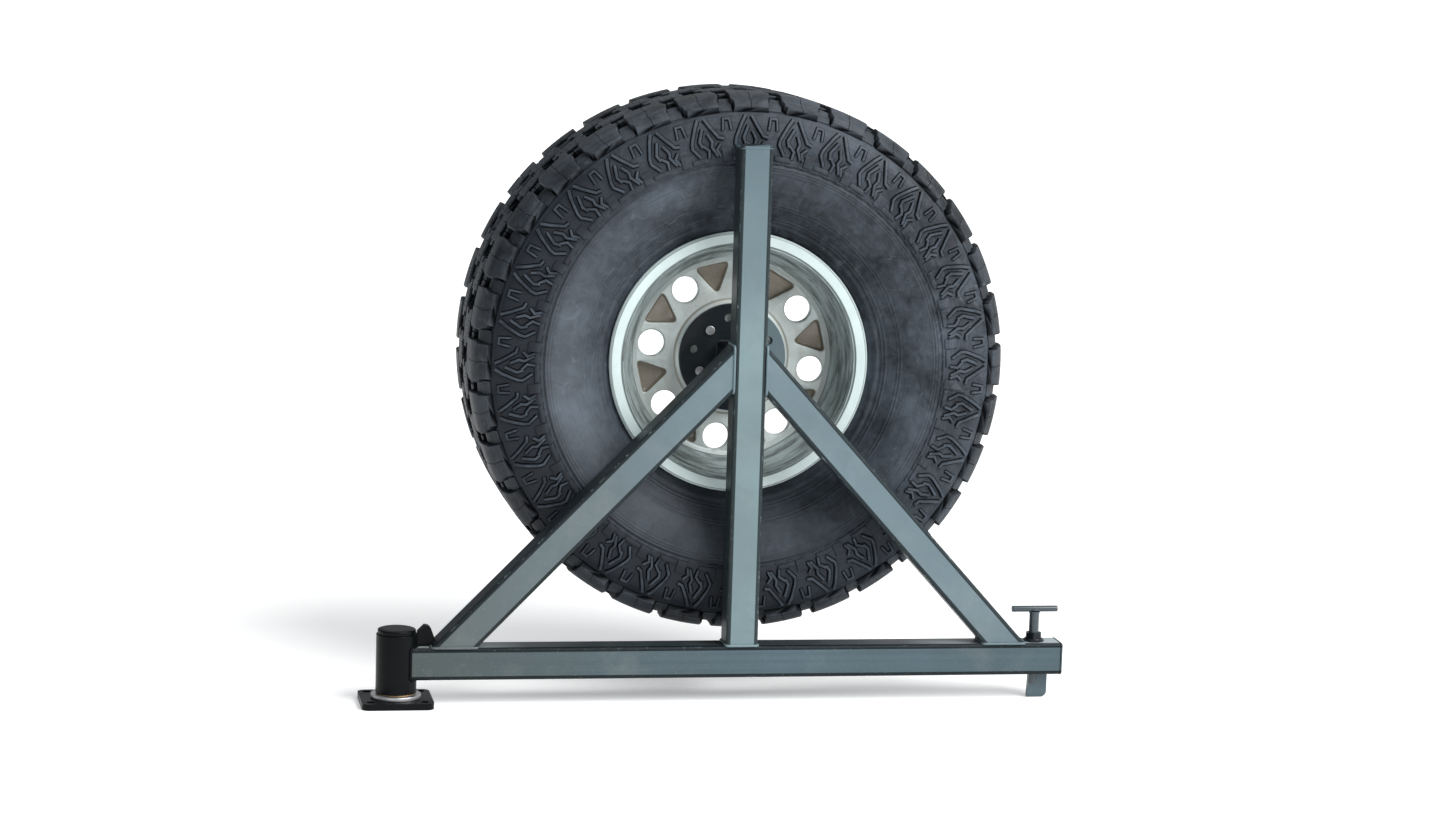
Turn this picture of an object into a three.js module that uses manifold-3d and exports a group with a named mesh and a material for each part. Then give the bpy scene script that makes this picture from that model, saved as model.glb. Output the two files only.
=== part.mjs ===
// Swing-out spare tire carrier with its spare wheel.
// Millimetres, +Z up. The origin is on the swing axis, at the underside of the base plate.
// +X runs along the arm, away from the hinge, and +Y points from the frame to the spare wheel.

import * as THREE from 'three';
import { mergeVertices } from 'three/addons/utils/BufferGeometryUtils.js';
import Module from 'manifold-3d';

const wasm = await Module();
wasm.setup();

// ---------------------------------------------------------------- driving dimensions

const GAP = 0.3; // clearance kept between pieces that touch
const ROUND = 32; // sides of a turned piece
const SMALL_ROUND = 12; // sides of a small turned piece
const LARGE_ROUND = 40; // sides of the wheel, its tire, its plate and the hinge's sleeve

const TUBE = 50.8; // 2 inch square tube
const TUBE_WALL = 4.76;
const TUBE_CORNER = 5;
const CORNER_STEPS = 3;
const CAP_PLATE = 3; // thickness of the tube end caps

const BASE_THICK = 10;
const BASE_LENGTH = 112;
const BASE_WIDTH = 104;
const BASE_CORNER = 12;
const BASE_HOLE_R = 6.75;
const BASE_HOLE_SPACING_X = 84;
const BASE_HOLE_SPACING_Y = 76;

const SLEEVE_R = 31.75; // 2.5 inch sleeve
const SLEEVE_BORE_R = 22;
const SLEEVE_TOP_BORE_R = 26;
const SLEEVE_LENGTH = 93;
const SLEEVE_BOTTOM = 18;
const SLEEVE_TOP = SLEEVE_BOTTOM + SLEEVE_LENGTH;
const ARM_ABOVE_SLEEVE_BOTTOM = 22.2;

const SPINDLE_R = 15.875; // 1.25 inch pin
const SPINDLE_FOOT_R = 39;
const SPINDLE_FOOT_THICK = 6;
const SPINDLE_THREAD_R = 11;
const BUSHING_LENGTH = 25;
const BUSHING_CLEARANCE = 0.15; // running fit on the pin
const SPINDLE_NUT_FLATS = 31.75;

const LUG_FLATS = 19; // across flats of the lug nuts
const HEX_CHAMFER = 0.08; // share of a hexagon's corner that is turned down

const ARM_BOTTOM = SLEEVE_BOTTOM + ARM_ABOVE_SLEEVE_BOTTOM;
const ARM_TOP = ARM_BOTTOM + TUBE;
const ARM_END = 1063;

const POST_X = 541;
const POST_TOP = ARM_TOP + 786;
const BRACE_TOP = ARM_TOP + 475; // where the braces' outer edges meet the post
const BRACE_FOOT_LEFT = 52; // where the braces' outer edges meet the arm
const BRACE_FOOT_RIGHT = 1001;

const WHEEL_Z = ARM_TOP + 437; // height of the wheel's axis
const PLATE_R = 86;
const PLATE_THICK = 9.5;
const PLATE_NEAR = 132.6; // near face of the wheel plate
const STUD_R = 6.35;
const STUD_CIRCLE_R = 57.15; // 5 on 4.5 inch
const SPARE_CIRCLE_R = 63.5; // 5 on 5 inch, the unused second pattern
const STUD_COUNT = 5;
const STUD_ANGLE = 131;
const SPARE_ANGLE = 97;

const RIM_BACK = 72.4; // back flange of the wheel
const RIM_WIDTH = 222;
const RIM_R = 207.5; // flange radius of a 15 inch wheel
const WINDOW_COUNT = 8;
const WINDOW_CIRCLE_R = 131;
const WINDOW_R = 21;
const WINDOW_ANGLE = 126;
const TIRE_MIDDLE = RIM_BACK + RIM_WIDTH / 2;

const LATCH_X = 1020.5;
const STEM_R = 6.35;
const HANDLE_HEIGHT = 52; // centre of the cross bar above the arm
const HANDLE_LENGTH = 75;
const HANDLE_R = 5;
const FLAG_WIDTH = 30;
const FLAG_THICK = 9.5;
const FLAG_DROP = 40; // how far the flag hangs below the arm

// ---------------------------------------------------------------- materials

const finish = (color, roughness, metalness) =>
  new THREE.MeshStandardMaterial({ color, roughness, metalness });

const framePaint = finish(0x7f9398, 0.45, 0.3);
const armPaint = finish(0x5f7072, 0.45, 0.3);
const blackPaint = finish(0x17191c, 0.4, 0.2);
const zinc = finish(0xc9ccd0, 0.3, 0.9);
const bronze = finish(0xa87b45, 0.4, 0.8);
const castAlloy = finish(0xc3cdc6, 0.45, 0.6);
const rubber = finish(0x2b2d33, 0.85, 0.0);
const plastic = finish(0x151515, 0.6, 0.0);

// ---------------------------------------------------------------- solids

function solidOf(geometry) {
  const bare = geometry.clone();
  bare.deleteAttribute('normal');
  bare.deleteAttribute('uv');
  const merged = mergeVertices(bare, 1e-4);
  return new wasm.Manifold(new wasm.Mesh({
    numProp: 3,
    vertProperties: new Float32Array(merged.attributes.position.array),
    triVerts: new Uint32Array(merged.index.array),
  }));
}

function geometryOf(solid) {
  const mesh = solid.getMesh();
  const geometry = new THREE.BufferGeometry();
  geometry.setAttribute('position', new THREE.BufferAttribute(new Float32Array(mesh.vertProperties), 3));
  geometry.setIndex(new THREE.BufferAttribute(new Uint32Array(mesh.triVerts), 1));
  return geometry;
}

function cut(geometry, ...cutters) {
  const left = cutters.reduce((solid, cutter) => solid.subtract(solidOf(cutter)), solidOf(geometry));
  return geometryOf(left);
}

function join(geometry, ...others) {
  const all = others.reduce((solid, other) => solid.add(solidOf(other)), solidOf(geometry));
  return geometryOf(all);
}

function keep(geometry, region) {
  return geometryOf(solidOf(geometry).intersect(solidOf(region)));
}

// a box given by its two opposite corners
function block(low, high) {
  const size = high.map((value, i) => value - low[i]);
  return new THREE.BoxGeometry(...size).translate(...low.map((value, i) => value + size[i] / 2));
}

const radians = THREE.MathUtils.degToRad;

// a turned piece about +Y, from [radius, height] points
function turned(points, sides = ROUND) {
  const profile = points.map(([radius, height]) => new THREE.Vector2(radius, height));
  return new THREE.LatheGeometry(profile, sides);
}

// a solid round bar from one height to another on +Y
function roundBar(radius, from, to, sides = ROUND) {
  return turned([[0, from], [radius, from], [radius, to], [0, to]], sides);
}

// a ring with a square section on +Y
function ring(inner, outer, from, to, sides = ROUND) {
  return turned([[inner, from], [outer, from], [outer, to], [inner, to], [inner, from]], sides);
}

// turns a piece that stands on +Y upright, on +Z
const upright = (geometry) => geometry.rotateX(Math.PI / 2);

function roundedRectangle(width, height, corner) {
  const x = width / 2 - corner;
  const y = height / 2 - corner;
  const shape = new THREE.Shape();
  shape.absarc(x, y, corner, 0, Math.PI / 2);
  shape.absarc(-x, y, corner, Math.PI / 2, Math.PI);
  shape.absarc(-x, -y, corner, Math.PI, Math.PI * 1.5);
  shape.absarc(x, -y, corner, Math.PI * 1.5, Math.PI * 2);
  shape.closePath();
  return shape;
}

function extrude(shape, depth, curveSegments = CORNER_STEPS) {
  return new THREE.ExtrudeGeometry(shape, { depth, bevelEnabled: false, curveSegments });
}

// square tube from one point to another, with its flat sides facing Y
function squareTube(from, to) {
  const section = roundedRectangle(TUBE, TUBE, TUBE_CORNER);
  const inside = TUBE - 2 * TUBE_WALL;
  section.holes.push(roundedRectangle(inside, inside, 1));
  const start = new THREE.Vector3(...from);
  const along = new THREE.Vector3(...to).sub(start);
  const length = along.length();
  along.normalize();
  const side = Math.abs(along.y) > 0.9 ? new THREE.Vector3(1, 0, 0) : new THREE.Vector3(0, 1, 0);
  const third = new THREE.Vector3().crossVectors(along, side);
  const place = new THREE.Matrix4().makeBasis(side, third, along).setPosition(start);
  return extrude(section, length).applyMatrix4(place);
}

// a hexagonal nut blank on +Z, with its corners turned down
function hexagon(acrossFlats, from, to) {
  const corner = acrossFlats / Math.sqrt(3);
  const chamfer = corner * HEX_CHAMFER;
  const prism = upright(roundBar(corner, from, to, 6));
  const turnedDown = upright(turned([
    [0, from],
    [corner - chamfer, from],
    [corner, from + chamfer],
    [corner, to - chamfer],
    [corner - chamfer, to],
    [0, to],
  ], SMALL_ROUND));
  return keep(prism, turnedDown);
}

// ---------------------------------------------------------------- the assembly

const assembly = new THREE.Group();

function part(parent, name, geometry, material, position = [0, 0, 0]) {
  const mesh = new THREE.Mesh(geometry, material);
  mesh.name = name;
  mesh.position.set(...position);
  parent.add(mesh);
  return mesh;
}

// ---------------------------------------------------------------- hinge base

const FOOT_TOP = BASE_THICK + GAP + SPINDLE_FOOT_THICK;
const TOP_RECESS = 18; // depth of the sleeve's top bore above the upper washer
const UPPER_WASHER_THICK = 2.5;
const SPINDLE_NUT_THICK = 13;
const UPPER_WASHER_FROM = SLEEVE_TOP - TOP_RECESS;
const UPPER_WASHER_TO = UPPER_WASHER_FROM + UPPER_WASHER_THICK;
const SPINDLE_NUT_TO = UPPER_WASHER_TO + GAP + SPINDLE_NUT_THICK;
const SPINDLE_END = SPINDLE_NUT_TO + 2;
const COTTER_Z = SPINDLE_NUT_TO - 4;
const COTTER_R = 2;
const COTTER_REACH = 20.4; // half the length of the cotter pin, just inside the top bore
const COTTER_BEND = 4; // how far its head and its bent end hang down

function basePlate() {
  const outline = roundedRectangle(BASE_LENGTH, BASE_WIDTH, BASE_CORNER);
  const plate = extrude(outline, BASE_THICK, 6);
  const holes = [];
  for (const x of [-1, 1]) {
    for (const y of [-1, 1]) {
      const hole = upright(roundBar(BASE_HOLE_R, -1, BASE_THICK + 1, SMALL_ROUND));
      holes.push(hole.translate(x * BASE_HOLE_SPACING_X / 2, y * BASE_HOLE_SPACING_Y / 2, 0));
    }
  }
  return cut(plate, ...holes);
}

const cotterHole = () =>
  roundBar(COTTER_R + GAP, -SPINDLE_FOOT_R, SPINDLE_FOOT_R, SMALL_ROUND)
    .rotateZ(Math.PI / 2)
    .translate(0, 0, COTTER_Z);

function spindle() {
  const foot = BASE_THICK + GAP;
  const shoulder = UPPER_WASHER_FROM - 1;
  const body = upright(turned([
    [0, foot],
    [SPINDLE_FOOT_R, foot],
    [SPINDLE_FOOT_R, FOOT_TOP - 1],
    [SPINDLE_FOOT_R - 1, FOOT_TOP],
    [SPINDLE_R, FOOT_TOP],
    [SPINDLE_R, shoulder - 1],
    [SPINDLE_THREAD_R, shoulder],
    [SPINDLE_THREAD_R, SPINDLE_END - 1],
    [SPINDLE_THREAD_R - 1, SPINDLE_END],
    [0, SPINDLE_END],
  ]));
  return cut(body, cotterHole());
}

function spindleNut() {
  const from = UPPER_WASHER_TO + GAP;
  const blank = hexagon(SPINDLE_NUT_FLATS, from, SPINDLE_NUT_TO);
  const bore = upright(roundBar(SPINDLE_THREAD_R + GAP, from - 1, SPINDLE_NUT_TO + 1));
  const half = COTTER_R + 2 * GAP;
  const slots = [0, 60, 120].map((angle) =>
    block([-SPINDLE_NUT_FLATS, -half, COTTER_Z - half], [SPINDLE_NUT_FLATS, half, SPINDLE_NUT_TO + 1])
      .rotateZ(radians(angle)));
  return cut(blank, bore, ...slots);
}

// a straight pin with its head and its bent end folded down outside the nut
function cotterPin() {
  const end = COTTER_REACH - COTTER_R;
  const leg = (x) => upright(roundBar(COTTER_R, -COTTER_BEND, 1, SMALL_ROUND)).translate(x, 0, 0);
  return join(
    roundBar(COTTER_R, -COTTER_REACH, COTTER_REACH, SMALL_ROUND).rotateZ(Math.PI / 2),
    leg(-end),
    leg(end),
  );
}

part(assembly, 'base_plate', basePlate(), blackPaint);
part(assembly, 'spindle', spindle(), zinc);
part(
  assembly,
  'thrust_washer',
  upright(ring(SPINDLE_R + GAP, SLEEVE_R - 2, FOOT_TOP + GAP, SLEEVE_BOTTOM - GAP)),
  bronze,
);
part(
  assembly,
  'spindle_washer',
  upright(ring(SPINDLE_THREAD_R + GAP, SLEEVE_TOP_BORE_R - 2, UPPER_WASHER_FROM, UPPER_WASHER_TO)),
  zinc,
);
part(assembly, 'spindle_nut', spindleNut(), zinc);
part(assembly, 'cotter_pin', cotterPin(), zinc, [0, 0, COTTER_Z]);

// ---------------------------------------------------------------- sleeve of the hinge

const BUSHING_SHELF = UPPER_WASHER_FROM - 1.5;
const GREASE_Z = (SLEEVE_BOTTOM + SLEEVE_TOP) / 2;
const GREASE_R = 3;
const GREASE_ANGLE = 0; // round the sleeve, on its far side

function hingeSleeve() {
  const body = upright(turned([
    [SLEEVE_BORE_R, SLEEVE_BOTTOM],
    [SLEEVE_R - 1, SLEEVE_BOTTOM],
    [SLEEVE_R, SLEEVE_BOTTOM + 1],
    [SLEEVE_R, SLEEVE_TOP - 1],
    [SLEEVE_R - 1, SLEEVE_TOP],
    [SLEEVE_TOP_BORE_R, SLEEVE_TOP],
    [SLEEVE_TOP_BORE_R, BUSHING_SHELF],
    [SLEEVE_BORE_R, BUSHING_SHELF],
    [SLEEVE_BORE_R, SLEEVE_BOTTOM],
  ], LARGE_ROUND));
  const greaseHole = roundBar(GREASE_R, 0, SLEEVE_R + 5, SMALL_ROUND).translate(0, 0, GREASE_Z);
  return cut(body, greaseHole.rotateZ(radians(GREASE_ANGLE)));
}

function bushing(from) {
  return upright(ring(SPINDLE_R + BUSHING_CLEARANCE, SLEEVE_BORE_R - GAP, from, from + BUSHING_LENGTH));
}

function dustCap() {
  const skirt = 5;
  const lid = 8;
  const wall = 2;
  const slope = 3; // of the lid's edge
  const rim = SLEEVE_R - wall;
  const low = SLEEVE_TOP + GAP;
  const fit = SLEEVE_TOP_BORE_R - GAP;
  return upright(turned([
    [0, low + lid - wall],
    [fit - wall - 2, low + lid - wall],
    [fit - wall, low + lid - wall - 1],
    [fit - wall, low - skirt],
    [fit, low - skirt],
    [fit, low],
    [rim, low],
    [rim, low + lid - slope],
    [rim - slope, low + lid],
    [0, low + lid],
  ]));
}

function greaseFitting() {
  const seat = SLEEVE_R + GAP;
  const collarR = 4.5;
  const collar = seat + 4;
  const neckR = 2.2;
  const tipR = 3.2;
  const tip = seat + 11;
  const nipple = turned([
    [0, SLEEVE_BORE_R + 2],
    [GREASE_R - GAP, SLEEVE_BORE_R + 2],
    [GREASE_R - GAP, seat],
    [collarR, seat],
    [collarR, collar],
    [neckR, collar + 1],
    [neckR, collar + 3],
    [tipR, tip - 2.5],
    [tipR - 1.2, tip],
    [0, tip],
  ], SMALL_ROUND);
  return nipple.rotateZ(radians(GREASE_ANGLE));
}

const swing = new THREE.Group();
assembly.add(swing);

part(swing, 'hinge_sleeve', hingeSleeve(), blackPaint);
part(swing, 'lower_bushing', bushing(SLEEVE_BOTTOM + 1), bronze);
part(swing, 'upper_bushing', bushing(BUSHING_SHELF - BUSHING_LENGTH - 1), bronze);
part(swing, 'dust_cap', dustCap(), blackPaint);
part(swing, 'grease_fitting', greaseFitting(), zinc, [0, 0, GREASE_Z]);

// ---------------------------------------------------------------- frame of square tube

const GUIDE_R = 9.5;
const GUSSET_THICK = 12.7;
const GUSSET_HEIGHT = 33; // above the arm
const GUSSET_CORNER = 9; // its round top corner
const GUSSET_ON_BRACE = 9; // how far up it touches the brace
const POST_CAP_SIZE = TUBE + 1.5; // stands a little proud of the post
const FAR = 2000; // larger than the whole object

function mainArm() {
  const middle = (ARM_BOTTOM + ARM_TOP) / 2;
  const tube = squareTube([0, 0, middle], [ARM_END - CAP_PLATE - GAP, 0, middle]);
  const cope = upright(roundBar(SLEEVE_R + GAP, -FAR, FAR, LARGE_ROUND));
  const guideHole = upright(roundBar(GUIDE_R + GAP, -FAR, FAR, SMALL_ROUND)).translate(LATCH_X, 0, 0);
  return cut(tube, cope, guideHole);
}

// side is -1 for the brace next to the hinge and 1 for the brace next to the latch
function brace(footX, side) {
  const topX = POST_X + side * TUBE / 2;
  const run = new THREE.Vector3(topX - footX, 0, BRACE_TOP - ARM_TOP);
  const length = run.length();
  const along = run.clone().normalize();
  const inward = new THREE.Vector3(-side * along.z, 0, side * along.x).multiplyScalar(TUBE / 2);
  const foot = new THREE.Vector3(footX, 0, ARM_TOP).add(inward);
  const excess = 1.5 * TUBE;
  const from = foot.clone().addScaledVector(along, -excess);
  const to = foot.clone().addScaledVector(along, length + excess);
  const tube = squareTube(from.toArray(), to.toArray());
  const inner = topX + side * GAP;
  const outer = side * FAR;
  const region = block(
    [Math.min(inner, outer), -FAR, ARM_TOP + GAP],
    [Math.max(inner, outer), FAR, FAR],
  );
  return keep(tube, region);
}

// fills the corner between the sleeve, the arm and the foot of the left brace
function hingeGusset() {
  const low = ARM_TOP + GAP;
  const slope = (BRACE_TOP - ARM_TOP) / (POST_X - TUBE / 2 - BRACE_FOOT_LEFT);
  const foot = BRACE_FOOT_LEFT - 1;
  const inSleeve = SLEEVE_R - 4; // the sleeve's curve is cut out of this end
  const top = low + GUSSET_HEIGHT;
  const corner = new THREE.QuadraticBezierCurve(
    new THREE.Vector2(foot + 2.5, top - GUSSET_CORNER + 1),
    new THREE.Vector2(foot + 1, top),
    new THREE.Vector2(foot - GUSSET_CORNER, top),
  );
  const outline = new THREE.Shape([
    new THREE.Vector2(inSleeve, low),
    new THREE.Vector2(foot, low),
    new THREE.Vector2(foot + GUSSET_ON_BRACE / slope, low + GUSSET_ON_BRACE),
    new THREE.Vector2(foot + 3, top - GUSSET_CORNER),
    ...corner.getPoints(5),
    new THREE.Vector2(inSleeve, SLEEVE_TOP - 1),
  ]);
  const plate = extrude(outline, GUSSET_THICK).translate(0, 0, -GUSSET_THICK / 2).rotateX(Math.PI / 2);
  return cut(plate, upright(roundBar(SLEEVE_R + GAP, -FAR, FAR, LARGE_ROUND)));
}

function endCap(size) {
  return extrude(roundedRectangle(size, size, TUBE_CORNER), CAP_PLATE);
}

part(swing, 'main_arm', mainArm(), armPaint);
part(swing, 'arm_end_cap', endCap(TUBE).rotateY(Math.PI / 2), armPaint,
  [ARM_END - CAP_PLATE, 0, (ARM_BOTTOM + ARM_TOP) / 2]);
part(
  swing,
  'center_post',
  squareTube([POST_X, 0, ARM_TOP + GAP], [POST_X, 0, POST_TOP - CAP_PLATE - GAP]),
  framePaint,
);
part(swing, 'post_top_cap', endCap(POST_CAP_SIZE), framePaint, [POST_X, 0, POST_TOP - CAP_PLATE]);
part(swing, 'brace_left', brace(BRACE_FOOT_LEFT, -1), framePaint);
part(swing, 'brace_right', brace(BRACE_FOOT_RIGHT, 1), framePaint);
part(swing, 'hinge_gusset', hingeGusset(), blackPaint);

// ---------------------------------------------------------------- wheel plate and its studs

const STUD_END = 176;
const STUD_HEAD_R = 7.4;
const STUD_HEAD_THICK = 3;
const STUD_LEAD = 1.5; // length of the stud's turned-down end
const PLATE_FAR = PLATE_NEAR + PLATE_THICK;

// calls make(angle) for each stud of a circle
const aroundCircle = (count, first, make) =>
  Array.from({ length: count }, (_, i) => make(radians(first - i * 360 / count)));

const onCircle = (radius, angle) => [radius * Math.cos(angle), 0, radius * Math.sin(angle)];

function wheelPlate() {
  const disc = turned([
    [0, PLATE_NEAR],
    [PLATE_R - 1.5, PLATE_NEAR],
    [PLATE_R, PLATE_NEAR + 1.5],
    [PLATE_R, PLATE_FAR],
    [0, PLATE_FAR],
  ], LARGE_ROUND);
  const hole = (circle) => (angle) =>
    roundBar(STUD_R + GAP, PLATE_NEAR - 1, PLATE_FAR + 1, SMALL_ROUND).translate(...onCircle(circle, angle));
  return cut(
    disc,
    ...aroundCircle(STUD_COUNT, STUD_ANGLE, hole(STUD_CIRCLE_R)),
    ...aroundCircle(STUD_COUNT, SPARE_ANGLE, hole(SPARE_CIRCLE_R)),
  );
}

function lugStud() {
  const near = PLATE_NEAR - GAP;
  const head = near - STUD_HEAD_THICK;
  return turned([
    [0, head],
    [STUD_HEAD_R - 0.8, head],
    [STUD_HEAD_R, head + 0.8],
    [STUD_HEAD_R, near],
    [STUD_R, near],
    [STUD_R, STUD_END - STUD_LEAD],
    [STUD_R - 1.2, STUD_END],
    [0, STUD_END],
  ], SMALL_ROUND);
}

const hub = new THREE.Group();
hub.position.set(POST_X, 0, WHEEL_Z);
swing.add(hub);

part(hub, 'standoff_tube', squareTube([0, TUBE / 2 + GAP, 0], [0, PLATE_NEAR - GAP, 0]), framePaint);
part(hub, 'wheel_plate', wheelPlate(), framePaint);
aroundCircle(STUD_COUNT, STUD_ANGLE, (angle) => onCircle(STUD_CIRCLE_R, angle)).forEach((place, i) => {
  part(hub, `lug_stud_${i + 1}`, lugStud(), zinc, place);
});

// ---------------------------------------------------------------- latch

const FLANGE_NUT_HEIGHT = 13.5;
const FLANGE_NUT_FLATS = 24;
const FLANGE_R = 17;
const FLANGE_THICK = 4.5;

function latchFlangeNut() {
  const slope = 3; // of the flange's edge
  const flange = upright(turned([
    [0, 0],
    [FLANGE_R, 0],
    [FLANGE_R, FLANGE_THICK - slope + 0.5],
    [FLANGE_R - slope, FLANGE_THICK],
    [0, FLANGE_THICK],
  ]));
  const bore = upright(roundBar(STEM_R + GAP, -1, FLANGE_NUT_HEIGHT + 1, SMALL_ROUND));
  return cut(join(flange, hexagon(FLANGE_NUT_FLATS, 1, FLANGE_NUT_HEIGHT)), bore);
}

// slot for the flag, in the stem's own frame with the arm's top at zero
const SLOT_DEPTH = 16;
const FLAG_TOP = -TUBE - 1.5; // just under the arm
const SLOT_BOTTOM = FLAG_TOP - SLOT_DEPTH;
const FLAG_CORNER = 9;
const FLAG_TAPER = 1.5; // how far the flag's near edge leans out
const STEM_FLARE = 1.6; // where the stem is welded to the cross bar

function handleStem() {
  const top = HANDLE_HEIGHT - HANDLE_R - GAP;
  const stem = upright(turned([
    [0, SLOT_BOTTOM],
    [STEM_R - 1, SLOT_BOTTOM],
    [STEM_R, SLOT_BOTTOM + 1],
    [STEM_R, top - 4],
    [STEM_R + STEM_FLARE, top],
    [0, top],
  ], SMALL_ROUND));
  const slot = block(
    [-STEM_R - 1, -FLAG_THICK / 2 - GAP, SLOT_BOTTOM - 1],
    [STEM_R + 1, FLAG_THICK / 2 + GAP, FLAG_TOP + GAP],
  );
  return cut(stem, slot);
}

function latchFlag() {
  const left = -STEM_R;
  const right = left + FLAG_WIDTH;
  const bottom = -TUBE - FLAG_DROP;
  const outline = new THREE.Shape();
  outline.moveTo(left, FLAG_TOP);
  outline.lineTo(left - FLAG_TAPER, bottom);
  outline.lineTo(right - FLAG_CORNER, bottom);
  outline.absarc(right - FLAG_CORNER, bottom + FLAG_CORNER, FLAG_CORNER, -Math.PI / 2, 0);
  outline.lineTo(right, FLAG_TOP);
  return extrude(outline, FLAG_THICK, 8).translate(0, 0, -FLAG_THICK / 2).rotateX(Math.PI / 2);
}

function handleBar() {
  const half = HANDLE_LENGTH / 2;
  return turned([
    [0, -half],
    [HANDLE_R - 1, -half],
    [HANDLE_R, -half + 1],
    [HANDLE_R, half - 1],
    [HANDLE_R - 1, half],
    [0, half],
  ], SMALL_ROUND).rotateZ(Math.PI / 2);
}

const latch = new THREE.Group();
latch.position.set(LATCH_X, 0, ARM_TOP);
swing.add(latch);

part(latch, 'latch_guide_tube', upright(ring(STEM_R + GAP, GUIDE_R, -TUBE, 0, SMALL_ROUND)), zinc);
part(latch, 'latch_flange_nut', latchFlangeNut(), armPaint, [0, 0, GAP]);
part(latch, 't_handle_stem', handleStem(), zinc);
part(latch, 't_handle_bar', handleBar(), zinc, [0, 0, HANDLE_HEIGHT]);
part(latch, 'latch_flag', latchFlag(), armPaint);

// ---------------------------------------------------------------- spare wheel

const SEAT_R = 190.5; // bead seat of a 15 inch wheel
const HUB_FACE = PLATE_FAR + GAP;
const HUB_THICK = 16;
const HUB_R = 90;
const HUB_SLOPE = 4; // how much wider the hub's foot is than its face
const HUB_BORE_R = 41.5;
const WEB_BACK = HUB_FACE + 4;
const WEB_FRONT = WEB_BACK + 14;
const DISC_R = 160.7; // the disc's flange, which is welded into the rim
const WELL_R = 168; // bottom of the drop centre
const RIM_SEAM = 106; // where the two halves of the rim meet, from the back flange
const SEAM_R = 169.6;
const POCKET_DEPTH = 9;
const POCKET_COUNT = WINDOW_COUNT;
const POCKET_HALF_WIDTH = 30;
const POCKET_SIDE = 151; // its flat outer side, from the wheel's axis
const POCKET_TIP = 102;
const POCKET_CORNER = 7;
const SEAT_CONE_R = 11.5;
const SEAT_CONE_DEPTH = 7;
const LUG_HOLE_R = 7.6;
const LUG_HEIGHT = 26; // of a nut above the hub
const LUG_CROWN = 8; // height of its domed end
const VALVE_ANGLE = 205;
const VALVE_TILT = 84; // square to the sloping wall of the rim
const VALVE_R = 184; // middle of the wall
const VALVE_FROM_BACK = 168;
const VALVE_HOLE_R = 5.5;

const closedRing = (points) => [...points, points[0]];

// points of the rim in [radius, distance from the back flange]
const rimFromBack = (points) => points.map(([radius, distance]) => [radius, RIM_BACK + distance]);

// the rim's outer side holds the tire; the disc is welded to the inner side of its back half
function rimFrontProfile() {
  const seam = RIM_SEAM + GAP / 2;
  const outside = [
    [SEAM_R, seam],
    [181, 120],
    [SEAT_R + 1, 184],
    [SEAT_R, 207],
    [SEAT_R + 8, 209],
    [RIM_R, 212.5],
    [RIM_R, 218.5],
  ];
  const inside = [
    [RIM_R - 3, RIM_WIDTH],
    [RIM_R - 18, RIM_WIDTH - 1],
    [182, 206],
    [174, 124],
    [DISC_R + GAP, seam],
  ];
  return closedRing(rimFromBack([...outside, ...inside]));
}

function rimBackProfile() {
  const seam = RIM_SEAM - GAP / 2;
  const outside = [
    [RIM_R, 3.5],
    [RIM_R, 9.5],
    [SEAT_R + 8, 13],
    [SEAT_R, 15],
    [SEAT_R + 1, 38],
    [WELL_R, 60],
    [WELL_R, 104],
    [SEAM_R, seam],
  ];
  const inside = [
    [DISC_R + GAP, seam],
    [DISC_R + GAP, 60],
    [179, 34],
    [183, 4],
    [RIM_R - 3, 0],
  ];
  return closedRing(rimFromBack([...outside, ...inside]));
}

// the disc steps up round the hub and ends in a flange that lies in the rim
function discProfile() {
  const flange = 6;
  const hubFront = HUB_FACE + HUB_THICK;
  return [
    [HUB_BORE_R, HUB_FACE],
    [HUB_R, HUB_FACE],
    [HUB_R + HUB_SLOPE, WEB_BACK],
    [DISC_R - flange, WEB_BACK],
    [DISC_R - 1, WEB_BACK - flange],
    [DISC_R, WEB_BACK - flange],
    [DISC_R, WEB_FRONT + flange],
    [DISC_R - 1, WEB_FRONT + flange],
    [DISC_R - flange, WEB_FRONT],
    [HUB_R + HUB_SLOPE + 2, WEB_FRONT],
    [HUB_R, hubFront],
    [HUB_BORE_R, hubFront],
    [HUB_BORE_R, HUB_FACE],
  ];
}

// triangular recess with its flat side outwards and round corners
function pocketOutline() {
  const corners = [
    new THREE.Vector2(-POCKET_HALF_WIDTH, POCKET_SIDE),
    new THREE.Vector2(POCKET_HALF_WIDTH, POCKET_SIDE),
    new THREE.Vector2(0, POCKET_TIP),
  ];
  const outline = new THREE.Shape();
  corners.forEach((point, i) => {
    const before = corners[(i + 2) % 3].clone().sub(point).setLength(POCKET_CORNER).add(point);
    const after = corners[(i + 1) % 3].clone().sub(point).setLength(POCKET_CORNER).add(point);
    if (i === 0) outline.moveTo(before.x, before.y);
    else outline.lineTo(before.x, before.y);
    outline.quadraticCurveTo(point.x, point.y, after.x, after.y);
  });
  outline.closePath();
  return outline;
}

// the cone that a lug nut seats in, opened up by the given clearance
function seatCone(clearance) {
  const face = HUB_FACE + HUB_THICK;
  return [
    [LUG_HOLE_R - GAP + clearance, face - SEAT_CONE_DEPTH],
    [SEAT_CONE_R + clearance, face],
  ];
}

// puts a valve piece, made on +Y with the rim's wall at zero, in its place on the rim
function placeValve(geometry) {
  return geometry
    .rotateZ(radians(VALVE_TILT))
    .translate(VALVE_R, RIM_BACK + VALVE_FROM_BACK, 0)
    .rotateY(-radians(VALVE_ANGLE));
}

function rimFront() {
  const valveHole = roundBar(VALVE_HOLE_R, -30, 30, SMALL_ROUND);
  return cut(turned(rimFrontProfile(), LARGE_ROUND), placeValve(valveHole));
}

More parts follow.
